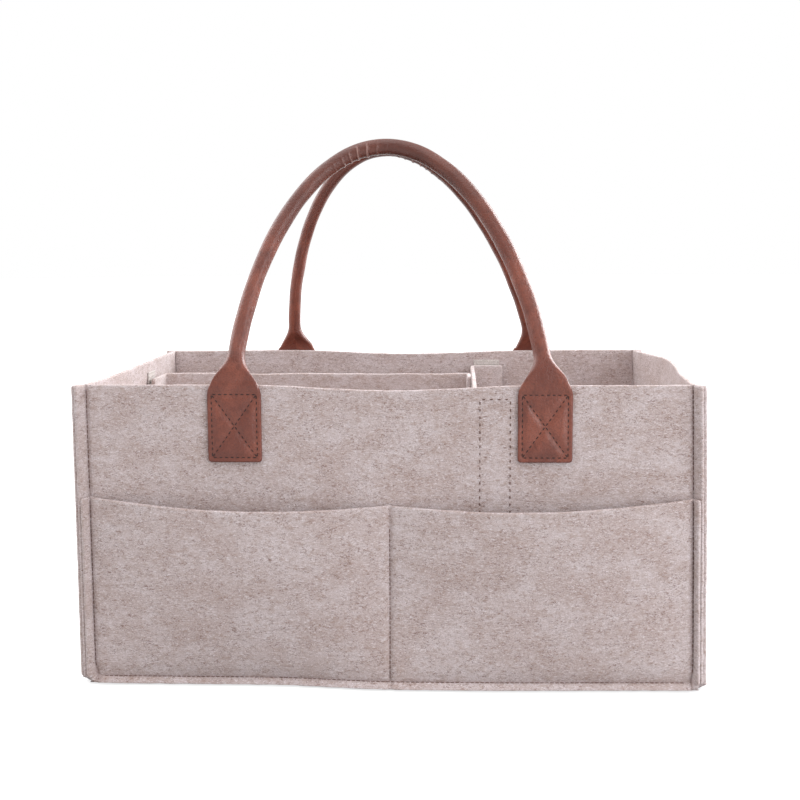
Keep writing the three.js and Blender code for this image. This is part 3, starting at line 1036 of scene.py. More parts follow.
        def place(column: float, row: float, outer: bool) -> Vector:
            """Places a point of the plate, whose edge slopes in towards its upper side.

            Args:
                column: the share of half the width.
                row: the share of half the depth.
                outer: whether it is on the upper side.

            Returns:
                The point.
            """
            height = self.felt if outer else 0.0
            grow = self.base_flare + self.base_over - height
            point = Vector((column * (self.half_x + grow), row * (self.half_y + grow), height))
            return point - Vector((0, self.slump.bow_of_foot(point), 0))

        bm = closed_sheet(shares(60), shares(40), place, self.felt * self.base_rounding)
        piece = as_piece("base_felt", bm, look, levels=1)
        return settle(piece, "felt", "caddy_body", "base_panel")

    def make(self, look: Look) -> list[Piece]:
        """Builds every felt piece of the body.

        Args:
            look: their material.

        Returns:
            The pieces.
        """
        pieces = [self.make_base(look)]
        for wall in Wall:
            pieces += [self.make_panel(wall, panel, look) for panel in Panel]
        return pieces


# Stitches

@dataclass(frozen=True)
class Stitcher:
    """Lays rows of stitches, each a short slug of thread that dips into the cloth at its ends."""

    length: float
    pitch: float
    thickness: float
    lift: float = 0.45
    sides: int = 6
    rings: int = 5

    def row(self, bm: Mesh, path: Sequence[Vector], normal: Vector) -> None:
        """Adds a row of stitches along a path.

        Args:
            bm: the mesh that takes them.
            path: the points that the row follows, on the cloth.
            normal: the way that the cloth faces.
        """
        spans = [(a, b, (b - a).length) for a, b in zip(path, path[1:])]
        total = sum(length for _, _, length in spans)
        count = max(1, round(total / self.pitch))
        for index in range(count):
            reach = (index + 0.5) * total / count
            for start, end, length in spans:
                if reach <= length:
                    break
                reach -= length
            along = (end - start).normalized()
            wobble = noise.noise(start.lerp(end, reach / length) / self.pitch) * 0.05
            self.stitch(bm, start.lerp(end, reach / length), along, normal, wobble)

    def stitch(self, bm: Mesh, centre: Vector, along: Vector, normal: Vector,
               wobble: float) -> None:
        """Adds one stitch, turned a little by wobble.

        Args:
            bm: the mesh that it adds to.
            centre: its middle.
            along: the seam's direction.
            normal: the way out of the felt.
            wobble: how far it is turned.
        """
        over = (normal - along * normal.dot(along)).normalized()
        aside = along.cross(over)
        along = (along + aside * wobble).normalized()
        basis = Matrix((aside * self.thickness, over * self.thickness * 0.9,
                        along * self.length / 2)).transposed().to_4x4()
        place = Matrix.Translation(centre + over * self.thickness * self.lift) @ basis
        bmesh.ops.create_uvsphere(bm, u_segments=self.sides, v_segments=self.rings, radius=1.0,
                                  matrix=place)


def seam_piece(name: str, bm: Mesh, look: Look, node: str) -> Piece:
    """Finishes rows of stitches in the felt, which stand for a thread of the frame."""
    return settle(as_piece(name, bm, look), "seam_thread", "caddy_body", node)


@dataclass(frozen=True)
class Seams:
    """The stitched seams of the felt body."""

    body: FeltBody
    inset: float = 0.0002
    foot: float = 0.0035

    @property
    def stitcher(self) -> Stitcher:
        """The stitches that all felt seams have."""
        return Stitcher(self.body.stitch, self.body.pitch, self.body.thread, lift=1.1)

    def down_corner(self, bm: Mesh, wall: Wall, end: int) -> None:
        """Stitches one wall's side of a corner seam, over the wall and then over its pocket.

        Args:
            bm: the mesh that it adds to.
            wall: the wall.
            end: which end of the wall, -1 or 1.
        """
        body = self.body
        column = end * (1 - self.inset / body.half(wall))
        split = body.pocket_corner / body.rim
        wall_rows = spread(0.985, split + 0.015, 12)
        pocket_rows = spread(0.985, 0.06, 18)
        slant = wall.point(-end * SEAM_ALONG, SEAM_OUT, 0)
        for point, rows in ((body.wall_point, wall_rows), (body.pocket_point, pocket_rows)):
            self.stitcher.row(bm, [point(wall, column, row, True) for row in rows], slant)

    def make_corner(self, wall: Wall, side: Side, look: Look) -> Piece:
        """Builds a corner seam's stitches, which show on both of the walls that meet there.

        Args:
            wall: the long wall.
            side: which of its ends.
            look: its material.

        Returns:
            The piece.
        """
        end = side.value * wall.facing
        bm = bmesh.new()
        self.down_corner(bm, wall, end)
        self.down_corner(bm, Wall((wall.value + end) % 4), -end)
        corner = f"{wall.title}_{side.title}_corner"
        return seam_piece(f"{corner}_stitches", bm, look, f"{corner}_thread")

    def make_foot(self, wall: Wall, look: Look) -> Piece:
        """Builds the stitches that hold a wall and its pocket down to the base.

        Args:
            wall: the wall.
            look: its material.

        Returns:
            The piece.
        """
        bm = bmesh.new()
        end = self.foot / self.body.half(wall)
        columns = spread(-1 + end, 1 - end, 60)
        path = [self.body.pocket_point(wall, column, 0.0, True) for column in columns]
        self.stitcher.row(bm, path, wall.point(0, 0.9, 0.44))
        return seam_piece(f"{wall.title}_foot_stitches", bm, look, f"{wall.title}_base_thread")

    def make_middle(self, wall: Wall, look: Look) -> Piece:
        """Builds the stitches between a wall's two pockets.

        Args:
            wall: the wall.
            look: its material.

        Returns:
            The piece.
        """
        bm = bmesh.new()
        path = [self.body.pocket_point(wall, 0.0, row, True) for row in spread(0.87, 0.012, 48)]
        self.stitcher.row(bm, path, wall.point(0, 1, 0))
        return seam_piece(f"{wall.title}_pocket_stitches", bm, look, f"{wall.title}_pocket_thread")

    def make(self, look: Look) -> list[Piece]:
        """Builds all the seams of the felt body.

        Args:
            look: their material.

        Returns:
            The pieces.
        """
        pieces = []
        for wall in (Wall.FRONT, Wall.BACK):
            pieces += [self.make_corner(wall, side, look) for side in Side]
        for wall in Wall:
            pieces += [self.make_foot(wall, look), self.make_middle(wall, look)]
        return pieces


# Handles

@dataclass(frozen=True)
class Handle:
    """One leather strip: sewn flat to its wall at both ends and rolled round a rope between."""

    body: FeltBody
    wall: Wall
    lean: float
    sag: float
    tab_shift: float = 0.0
    spacing: float = 0.185
    height: float = 0.153
    roundness: float = 1.61
    radius: float = 0.005
    leather: float = 0.0018
    core: float = 0.0028
    tab_half: float = 0.0165
    tab_thick: float = 0.0022
    tab_length: float = 0.048
    corner: float = 0.002
    hinge_out: float = 0.1275
    hinge_z: float = 0.186
    shoulder_start: float = -0.008
    shoulder_end: float = 0.020
    shoulder_power: float = 1.3
    shoulder_length: float = 0.030
    round_start: float = -0.002
    round_reach: float = 0.018
    bend_start: float = -0.005
    bend_reach: float = 0.018
    free_reach: float = 0.040
    bore_start: float = 0.010
    bore_reach: float = 0.012
    box_half: float = 0.0135
    box_low: float = -0.045
    box_high: float = -0.0075
    quilt: float = 0.0012
    quilt_seam: float = 0.0017
    quilt_edge: float = 0.002
    quilt_bare: float = 0.0004
    quilt_share: float = 0.255
    quilt_fade: float = 0.03
    quilt_rest: float = 0.45
    sewn_end: float = 0.002
    sewn_reach: float = 0.012
    rolled_start: float = 0.006
    rolled_reach: float = 0.020
    lap: float = 0.0004
    lap_width: float = 0.0006
    lump: float = 0.00035
    lump_length: float = 0.018
    crease: float = 0.0008
    crease_pitch: float = 0.0060
    crease_width: float = 0.0007
    crease_start: float = -0.046
    crease_end: float = 0.014
    crease_rest: float = 0.3
    crease_slant: float = 0.22
    crease_drift: float = 0.35
    crease_drift_length: float = 0.012
    crease_centre: float = 0.45
    crease_fade: float = 0.019
    arch_steps: int = 720
    core_start: float = 0.027
    core_sides: int = 18
    core_lobe: float = 0.14
    core_twist: float = 0.0028
    core_taper: float = 0.003
    stitch: float = 0.0022
    pitch: float = 0.0033
    thread: float = 0.00036
    sunk: float = 0.40
    sides: int = 44
    blend_half: float = 0.005

    @property
    def title(self) -> str:
        """The handle's name, which the names of its pieces begin with."""
        return f"{self.wall.title}_handle"

    def arch(self, angle: float) -> Vector:
        """A point of the arch's middle line, upright over its hinge: X along and Z up.

        Args:
            angle: how far round from the arch's start, in radians.

        Returns:
            The point.
        """
        rise = self.height * max(0.0, math.sin(angle)) ** (2 / self.roundness)
        aside = self.tab_shift + self.sag * rise / self.height
        return Vector((aside - self.spacing / 2 * math.cos(angle), 0, rise))

    def spine(self) -> list[Vector]:
        """The strip's middle line from one tab's foot over the arch to the other's.

        Returns:
            Its points, upright over the hinge.
        """
        steps = self.arch_steps
        arch = [self.arch(math.pi * index / steps) for index in range(steps + 1)]
        drop = Vector((0, 0, -self.tab_length))
        return [arch[0] + drop, *arch, arch[-1] + drop]

    def lengths(self, spine: Sequence[Vector]) -> list[float]:
        """How far along the middle line each of its points lies.

        Args:
            spine: the points.

        Returns:
            The length up to each.
        """
        found = [0.0]
        for a, b in zip(spine, spine[1:]):
            found.append(found[-1] + (b - a).length)
        return found

    def stations(self, total: float) -> list[float]:
        """Where the strip's rings lie along it, closest at its ends and shoulders.

        Args:
            total: the strip's length.

        Returns:
            The lengths.
        """
        end = [0.0, 0.00012, 0.00035, 0.0007, 0.0012, 0.002]
        tab = spread(0.0034, self.tab_length, 31)[:-1]
        rolled = self.tab_length + self.shoulder_length
        leg = [*end, *tab, *spread(self.tab_length, rolled, 24)[:-1]]
        first, last = total / 2 + self.crease_start, total / 2 + self.crease_end
        arch = [*spread(rolled, first, 80)[:-1], *spread(first, last, 110)[:-1],
                *spread(last, total - self.tab_length - self.shoulder_length, 100)]
        return [*leg, *arch, *(total - value for value in reversed(leg))]

    def ring(self, share: float, wide: float, deep: float) -> tuple[float, float]:
        """A point of a rounded strip's section, from the middle of its back and once round.

        Args:
            share: how far round, from 0 to 1.
            wide: half of the section's width.
            deep: half of its depth, which is the radius of its round edges too.

        Returns:
            How far across the point lies, and how far inwards.
        """
        flat = max(0.0, wide - deep)
        around = 4 * flat + 2 * math.pi * deep
        side = 1.0 if share <= 0.5 else -1.0
        reach = min(share, 1 - share) * around
        if reach <= flat:
            return side * reach, deep
        if reach >= flat + math.pi * deep:
            return side * max(0.0, 2 * flat + math.pi * deep - reach), -deep
        turn = (reach - flat) / max(deep, 1e-9)
        return side * (flat + deep * math.sin(turn)), deep * math.cos(turn)

    def seam_distance(self, across: float, rise: float) -> float:
        """How far a point of a tab lies from its box of stitches or the cross in it.

        Args:
            across: how far it lies across the tab from its middle.
            rise: how far it lies above the hinge.

        Returns:
            The distance.
        """
        middle = (self.box_low + self.box_high) / 2
        tall = (self.box_high - self.box_low) / 2
        x, z = abs(across), abs(rise - middle)
        to_box = min(math.hypot(x - self.box_half, max(0.0, z - tall)),
                     math.hypot(max(0.0, x - self.box_half), z - tall))
        length = math.hypot(self.box_half, tall)
        to_cross = abs(x * tall - z * self.box_half) / length
        inside = x <= self.box_half and z <= tall
        return min(to_box, to_cross) if inside else to_box

    def section(self, reach: float, rise: float) -> tuple[float, float]:
        """Half the strip's width and half its depth.

        Args:
            reach: the distance from the nearer end of the strip.
            rise: the height over the hinge.

        Returns:
            The two half sizes.
        """
        if reach > self.tab_length + self.shoulder_length:
            return self.radius, self.radius
        narrowed = ease(rise, self.shoulder_start, self.shoulder_end - self.shoulder_start)
        wide = self.radius + (self.tab_half - self.radius) * (1 - narrowed) ** self.shoulder_power
        deep = mix(self.tab_thick / 2, self.radius, ease(rise, self.round_start, self.round_reach))
        if reach < self.corner:
            wide -= self.corner - math.sqrt(self.corner ** 2 - (self.corner - reach) ** 2)
        if reach < deep:
            deep = math.sqrt(max(0.0, deep ** 2 - (deep - reach) ** 2))
        return wide, deep

    def relief(self, share: float, reach: float, across: float, rise: float,
               length: float) -> float:
        """How far the leather's surface stands out of its plain section.

        Args:
            share: how far round the section.
            reach: the distance from the nearer end of the strip.
            across: how far across the tab.
            rise: the height over the hinge.
            length: the distance from the strip's left end.

        Returns:
            The height, which is below zero in seams and creases.
        """
        past = reach - self.tab_length
        at_front = smooth((self.quilt_share - abs(share - 0.5)) / self.quilt_fade)
        puff = 1 - dent(self.seam_distance(across, rise), self.quilt_seam)
        inside = (smooth((self.tab_half - abs(across)) / self.quilt_edge)
                  * ease(reach, self.quilt_bare, self.quilt_edge))
        sewn = 1 - ease(past, self.sewn_end, self.sewn_reach)
        quilt = at_front * inside * sewn * self.quilt * (puff - self.quilt_rest)
        if past < 0:
            return quilt
        rolled = ease(past, self.rolled_start, self.rolled_reach)
        lap = -self.lap * dent(min(share, 1 - share) * 2 * math.pi * self.radius, self.lap_width)
        turn = 2 * math.pi * share
        fold = self.crease * (self.fold(share, length) - self.crease_rest * self.folded(length))
        place = Vector((length / self.lump_length, math.cos(turn), math.sin(turn)))
        lumps = self.lump * noise.noise(place)
        return quilt + rolled * (lap + fold + lumps)

    def fold(self, share: float, length: float) -> float:
        """How near a point is to the crest of a fold, which runs up from the inside of the bend.

        Args:
            share: the share of the way round the strip.
            length: how far along the strip.

        Returns:
            1 on a crest, down to 0 between.
        """
        turn = 2 * math.pi * share
        place = Vector((length / self.crease_drift_length, math.cos(turn) * 0.4, 3.1))
        drift = self.crease_drift * noise.noise(place)
        phase = length / self.crease_pitch + drift + self.crease_slant * math.sin(turn)
        crest = round(phase)
        away = abs(phase - crest) * self.crease_pitch
        reach = 0.55 + 0.6 * noise.noise(Vector((crest * 1.7, 5.3, 0.4)))
        inner = smooth((math.sin(turn) + reach - 0.35) / 0.5)
        return dent(away, self.crease_width) * inner * self.folded(length)

    def folded(self, length: float) -> float:
        """How folded the tube is: most just left of its middle, where it bends hardest."""
        middle = self.total / 2 + mix(self.crease_start, self.crease_end, self.crease_centre)
        return math.exp(-((length - middle) / self.crease_fade) ** 2)

    @cached_property
    def total(self) -> float:
        """The strip's whole length."""
        return self.lengths(self.spine())[-1]

    def stand(self, across: float, inwards: float, rise: float) -> Vector:
        """Places a point drawn over the hinge: it leans in above it and stays upright below.

        Args:
            across: how far it lies along the wall.
            inwards: how far it lies in from the hinge.
            rise: how far it lies above the hinge.

        Returns:
            The point.
        """
        lean = self.lean * ease(rise, self.bend_start, self.bend_reach)
        inwards += self.tab_thick / 2
        turned = inwards * math.cos(lean) + rise * math.sin(lean)
        height = rise * math.cos(lean) - inwards * math.sin(lean)
        point = self.wall.point(across, self.hinge_out - turned, self.hinge_z + height)
        return self.body.slump.move(point, 1 - ease(point.z, self.hinge_z, self.free_reach))

    def frames(self, stations: Sequence[float]) -> dict[float, tuple[Vector, Vector]]:
        """The middle line's point and its direction at each station.

        Args:
            stations: the lengths along the strip.

        Returns:
            The point and direction for each length.
        """
        spine = self.spine()
        lengths = self.lengths(spine)
        at = 0
        found = {}
        for station in stations:
            while at < len(lengths) - 2 and lengths[at + 1] < station:
                at += 1
            a, b = spine[at], spine[at + 1]
            share = (station - lengths[at]) / max(1e-9, lengths[at + 1] - lengths[at])
            found[station] = a.lerp(b, share), (b - a).normalized()
        return found

    def make_leather(self, look: Look) -> Piece:
        """Builds the whole strip, hollow where it is rolled round its rope.

        Args:
            look: its material.

        Returns:
            The piece.
        """
        total = self.total
        stations = self.stations(total)
        frames = self.frames(stations)

        def place(share: float, station: float, bore: bool = False) -> Vector:
            """Places a point of the leather's outside, or of its bore.

            Args:
                share: the share of the way round the strip.
                station: the length along it.
                bore: whether it is the bore.

            Returns:
                The point.
            """
            centre, tangent = frames[station]
            reach = min(station, total - station)
            wide, deep = self.section(reach, centre.z)
            if bore:
                hollow = ease(reach - self.tab_length, self.bore_start, self.bore_reach)
                wide = (wide - self.leather) * max(hollow, 0.4)
                deep = (deep - self.leather) * hollow
            across, inwards = self.ring(share, wide, deep)
            normal = Vector((tangent.z, 0, -tangent.x))
            if not bore:
                out = self.relief(share, reach, across, centre.z, station)
                size = max(1e-6, math.hypot(across, inwards))
                if reach < self.tab_length:
                    inwards -= out
                else:
                    across, inwards = across * (1 + out / size), inwards * (1 + out / size)
            point = centre + normal * across
            return self.stand(point.x, inwards, point.z)

        def girth(station: float) -> float:
            """How far it is round the strip at a station."""
            wide, deep = self.section(min(station, total - station), frames[station][0].z)
            return 4 * max(0.0, wide - deep) + 2 * math.pi * deep

        bm = tube(self.sides, stations, place, girth=girth, mark=self.fold)
        hollow_from = self.tab_length + self.bore_start
        hollow = [s for s in stations if hollow_from <= s <= total - hollow_from]
        join(bm, tube(self.sides // 2, hollow, lambda share, station: place(share, station, True),
                      outwards=False))
        piece = as_piece(f"{self.title}_leather", bm, look, levels=1)
        parts = ("left_tab", "right_tab", "sleeve")
        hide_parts(*(f"{self.title}_{part}" for part in parts))
        low = self.wall.point(0, self.hinge_out, self.hinge_z - self.blend_half)
        high = self.wall.point(0, self.hinge_out, self.hinge_z + self.blend_half)
        self.title
        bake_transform(piece)
        return piece

    def make_core(self, look: Look) -> Piece:
        """Builds the rope in the handle, three strands laid together.

        Args:
            look: its material.

        Returns:
            The piece.
        """
        spine = self.spine()
        lengths = self.lengths(spine)
        inside = [(p, s) for p, s in zip(spine, lengths) if p.z >= self.core_start][::2]
        first, last = inside[0][1], inside[-1][1]
        frames = {s: (p, n) for (p, s), n in zip(inside, self.normals([p for p, _ in inside]))}

        def place(share: float, station: float) -> Vector:
            """Places a point of the rope's lobed and twisted section.

            Args:
                share: the share of the way round the rope.
                station: the length along it.

            Returns:
                The point.
            """
            centre, normal = frames[station]
            turn = 2 * math.pi * share
            lobe = 0.86 + self.core_lobe * math.cos(3 * turn - station / self.core_twist)
            taper = smooth(min(station - first, last - station) / self.core_taper + 0.25)
            size = self.core * lobe * taper
            point = centre + normal * size * math.cos(turn)
            return self.stand(point.x, size * math.sin(turn), point.z)

        bm = tube(self.core_sides, list(frames), place)
        piece = as_piece(f"{self.title}_rope", bm, look)
        return settle(piece, "core_rope", self.title, f"{self.title}_core")

    def normals(self, points: Sequence[Vector]) -> list[Vector]:
        """The way across the arch at each of its points.

        Args:
            points: the points.

        Returns:
            The direction at each.
        """
        found = []
        for index in range(len(points)):
            before, after = points[max(0, index - 1)], points[min(len(points) - 1, index + 1)]
            tangent = (after - before).normalized()
            found.append(Vector((tangent.z, 0, -tangent.x)))
        return found

    def make_stitches(self, side: Side, look: Look) -> Piece:
        """Builds the box and cross of stitches that hold one tab.

        Args:
            side: which tab.
            look: its material.

        Returns:
            The piece.
        """
        bm = bmesh.new()
        stitcher = Stitcher(self.stitch, self.pitch, self.thread)
        centre = self.tab_shift + side.value * self.wall.facing * self.spacing / 2
        surface = -self.tab_thick + self.quilt * self.sunk
        corners = [Vector((centre + end * self.box_half, 0, rise)) for end, rise in
                   ((-1, self.box_low), (1, self.box_low), (1, self.box_high), (-1, self.box_high))]
        for a, b in ((0, 1), (1, 2), (2, 3), (3, 0), (0, 2), (1, 3)):
            path = [corners[a].lerp(corners[b], share) for share in spread(0.0, 1.0, 9)]
            stitcher.row(bm, [self.stand(p.x, surface + self.tab_thick / 2, p.z) for p in path],
                         self.wall.point(0, 1, 0))
        piece = as_piece(f"{self.title}_{side.title}_stitches", bm, look)
        return settle(piece, "handle_thread", "caddy_body", f"{self.title}_{side.title}_thread")

    def make(self, leather: Look, rope: Look, thread: Look) -> list[Piece]:
        """Builds the handle's leather, rope and stitches."""
        return [self.make_leather(leather), self.make_core(rope),
                *(self.make_stitches(side, thread) for side in Side)]


# Divider and strips

@dataclass(frozen=True)
class Divider:
    """The lift-out insert: two strips of felt, folded into flaps at their ends."""

    body: FeltBody
    foot: float = 0.0033
    top: float = 0.173
    fold: float = 0.003
    step: float = 0.0045
    travel: float = 0.060
    wave: float = 0.0006
    wave_length: float = 0.03
    lump_height: float = 0.00018
    joined: float = 0.020

    def path(self, corners: Sequence[Vector]) -> list[Vector]:
        """Rounds the corners of a folded line and divides it evenly.

        Args:
            corners: the line's ends and the corners between them, in plan.

        Returns:
            Close points along the rounded line.
        """
        line = [corners[0]]
        for before, corner, after in zip(corners, corners[1:], corners[2:]):
            start = corner + (before - corner).normalized() * self.fold
            end = corner + (after - corner).normalized() * self.fold
            for share in spread(0.0, 1.0, 5):
                line.append(start.lerp(corner, share).lerp(corner.lerp(end, share), share))
        line.append(corners[-1])
        fine = []
        for a, b in zip(line, line[1:]):
            count = max(1, round((b - a).length / self.step))
            fine += [a.lerp(b, index / count) for index in range(count)]
        return [*fine, line[-1]]

    def make_strip(self, node: str, plan: Sequence[tuple[float, float]], look: Look) -> Piece:
        """Builds one folded strip of felt that stands on edge.

        Args:
            node: the divider of the frame that it stands for.
            plan: X and Y of its line's ends and corners.
            look: its felt.

        Returns:
            The piece.
        """
        line = self.path([Vector((x, y, 0)) for x, y in plan])
        last = len(line) - 1
        half = self.body.felt / 2

        def place(column: int, row: float, outer: bool) -> Vector:
            """Places a point of the strip, which waves a little along its upper edge.

            Args:
                column: which point of the strip's line.
                row: the share of the height.
                outer: whether it is on the outer skin.

            Returns:
                The point.
            """
            tangent = (line[min(last, column + 1)] - line[max(0, column - 1)]).normalized()
            shift = Vector((-tangent.y, tangent.x, 0)) * (half if outer else -half)
            point = line[column] + shift
            point.z = mix(self.foot, self.top, row)
            point.z += self.wave * row * noise.noise(point / self.wave_length)
            return self.body.slump.move(point, travel=self.travel)

        rows = [0.0, 0.018, *spread(0.05, 0.965, 34), 0.985, 1.0]
        bm = closed_sheet(range(last + 1), rows, place, self.body.felt * RAW_EDGE)
        piece = as_piece(f"{node}_felt", bm, look, levels=1)
        rumple(piece, LUMP, self.lump_height)
        length = sum((b - a).length for a, b in zip(line, line[1:]))
        return settle(piece, "divider_felt", "divider_insert", node)

    def make(self, look: Look) -> list[Piece]:
        """Builds both strips, their lines taken from the frame's own boxes.

        Args:
            look: their material.

        Returns:
            The pieces.
        """
        half = self.body.felt / 2
        low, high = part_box("cross_divider")
        left, front, back = low.x + half, low.y + half, high.y - half
        cross = [(high.x, front), (left, front), (left, back), (high.x, back)]
        low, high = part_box("long_divider")
        left, right, back = low.x + half, high.x - half, high.y - half
        along = [(left, low.y), (left, back), (right, back), (right, back - self.joined)]
        return [self.make_strip("cross_divider", cross, look),
                self.make_strip("long_divider", along, look)]


@dataclass(frozen=True)
class Fastening:
    """A pair of hook and loop strips on one wall, and the seam that shows on the wall's outside."""

    body: FeltBody
    wall: Wall
    travel: float
    thick: float = 0.0007
    tuft: float = 0.0006
    tuft_length: float = 0.42
    tuft_width: float = 0.24
    spacing: float = 0.0024
    inset: float = 0.001

    def box(self, tape: Tape) -> tuple[Vector, Vector]:
        """The frame's box of the hook or the loop strip."""
        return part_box(f"{self.wall.title}_{tape.title}_strip")

    def span(self, tape: Tape) -> tuple[float, float, float, float]:
        """A strip's ends along its wall, and its distances out from the middle.

        Args:
            tape: which strip.

        Returns:
            The start, end, near and far distance.
        """
        low, high = self.box(tape)
        turns = {Wall.FRONT: (low.x, high.x, -high.y, -low.y),
                 Wall.BACK: (-high.x, -low.x, low.y, high.y),
                 Wall.LEFT: (-high.y, -low.y, -high.x, -low.x)}
        return turns[self.wall]

    def make_strip(self, tape: Tape, look: Look) -> Piece:
        """Builds a strip: a woven tape with rows of tufts on the side that faces its partner.

        Args:
            tape: the hooks, which face outwards, or the loops, which face inwards.
            look: its material.

        Returns:
            The piece.
        """
        start, end, near, far = self.span(tape)
        low, high = self.box(tape)
        if tape is Tape.HOOK:
            backing, travel, facing = (near, near + self.thick), self.travel, 1
        else:
            backing, travel, facing = (far - self.thick, far), 0.0, -1
        face = backing[1] if facing > 0 else backing[0]

        def place(column: float, row: float, outer: bool) -> Vector:
            """Places a point of the tape.

            Args:
                column: the share of the width.
                row: the share of the height.
                outer: whether it is on the outer skin.

            Returns:
                The point.
            """
            point = self.wall.point(mix(start, end, column), backing[1 if outer else 0],
                                    mix(low.z, high.z, row))
            return self.body.slump.move(point, travel=travel)

        bm = closed_sheet(spread(0, 1, 9), spread(0, 1, 40), place, self.thick * 0.3)
        across = round((end - start - 2 * self.inset) / self.spacing)
        up = round((high.z - low.z - 2 * self.inset) / self.spacing)
        for index in range((across + 1) * (up + 1)):
            column, row = index % (across + 1), index // (across + 1)
            along = mix(start + self.inset, end - self.inset, column / across)
            height = mix(low.z + self.inset, high.z - self.inset, row / up)
            centre = self.body.slump.move(self.wall.point(along, face, height), travel=travel)
            self.add_tuft(bm, centre, self.wall.point(0, facing, 0), index)
        piece = as_piece(f"{self.wall.title}_{tape.title}_tape", bm, look)
        node = f"{self.wall.title}_{tape.title}_strip"
        return settle(piece, f"{tape.title}_tape", tape.value, node)

    def add_tuft(self, bm: Mesh, centre: Vector, outwards: Vector, index: int) -> None:
        """Adds one low tuft of pile, turned by its place in the row.

        Args:
            bm: the mesh that it adds to.
            centre: its middle.
            outwards: the way it stands.
            index: its place in the row.
        """
        turn = Matrix.Rotation(index * 2.4, 4, outwards)
        tilt = outwards.to_track_quat("Z", "Y").to_matrix().to_4x4()
        size = Matrix.Diagonal((self.spacing * self.tuft_length, self.spacing * self.tuft_width,
                                self.tuft, 1))
        place = Matrix.Translation(centre) @ turn @ tilt @ size
        bmesh.ops.create_cone(bm, cap_ends=True, cap_tris=False, segments=6, radius1=1.0,
                              radius2=0.45, depth=1.0, matrix=place)

    def make_seam(self, look: Look) -> Piece:
        """Builds the tall rectangle of stitches on the wall's outside, down to the pocket's mouth
        and behind it.

        Args:
            look: its material.

        Returns:
            The piece.
        """
        start, end, _, _ = self.span(Tape.LOOP)
        low, high = self.box(Tape.LOOP)
        left, right = start + self.inset, end - self.inset
        bottom, top = low.z + self.inset, high.z - self.inset
        corners = [(left, bottom), (right, bottom), (right, top), (left, top), (left, bottom)]
        stitcher = Stitcher(length=0.0019, pitch=0.0044, thickness=0.00042)
        out = self.body.inner(self.wall) + self.body.felt
        bm = bmesh.new()
        for a, b in zip(corners, corners[1:]):
            path = [self.wall.point(mix(a[0], b[0], share), out, mix(a[1], b[1], share))
                    for share in spread(0, 1, 12)]
            stitcher.row(bm, [self.body.slump.move(point) for point in path],
                         self.wall.point(0, 1, 0))
        name = self.wall.title
        return seam_piece(f"{name}_tape_stitches", bm, look, f"{name}_strip_thread")

    def make(self, loop: Look, hook: Look, thread: Look) -> list[Piece]:
        """Builds both strips and their seam."""
        return [self.make_strip(Tape.LOOP, loop), self.make_strip(Tape.HOOK, hook),
                self.make_seam(thread)]


# Studio

@dataclass(frozen=True)
class Lamp:
    """One soft square lamp that looks at a point."""

    name: str
    place: Colour
    aim: Colour
    size: float
    power: float
    colour: Colour

    def make(self) -> None:
        """Builds the lamp."""
        data = bpy.data.lights.new(self.name, "AREA")
        data.size, data.energy, data.color = self.size, self.power, self.colour
        lamp = bpy.data.objects.new(self.name, data)
        look = Vector(self.aim) - Vector(self.place)
        turn = look.to_track_quat("-Z", "Y").to_matrix().to_4x4()
        lamp.matrix_world = Matrix.Translation(self.place) @ turn
        bpy.context.scene.collection.objects.link(lamp)


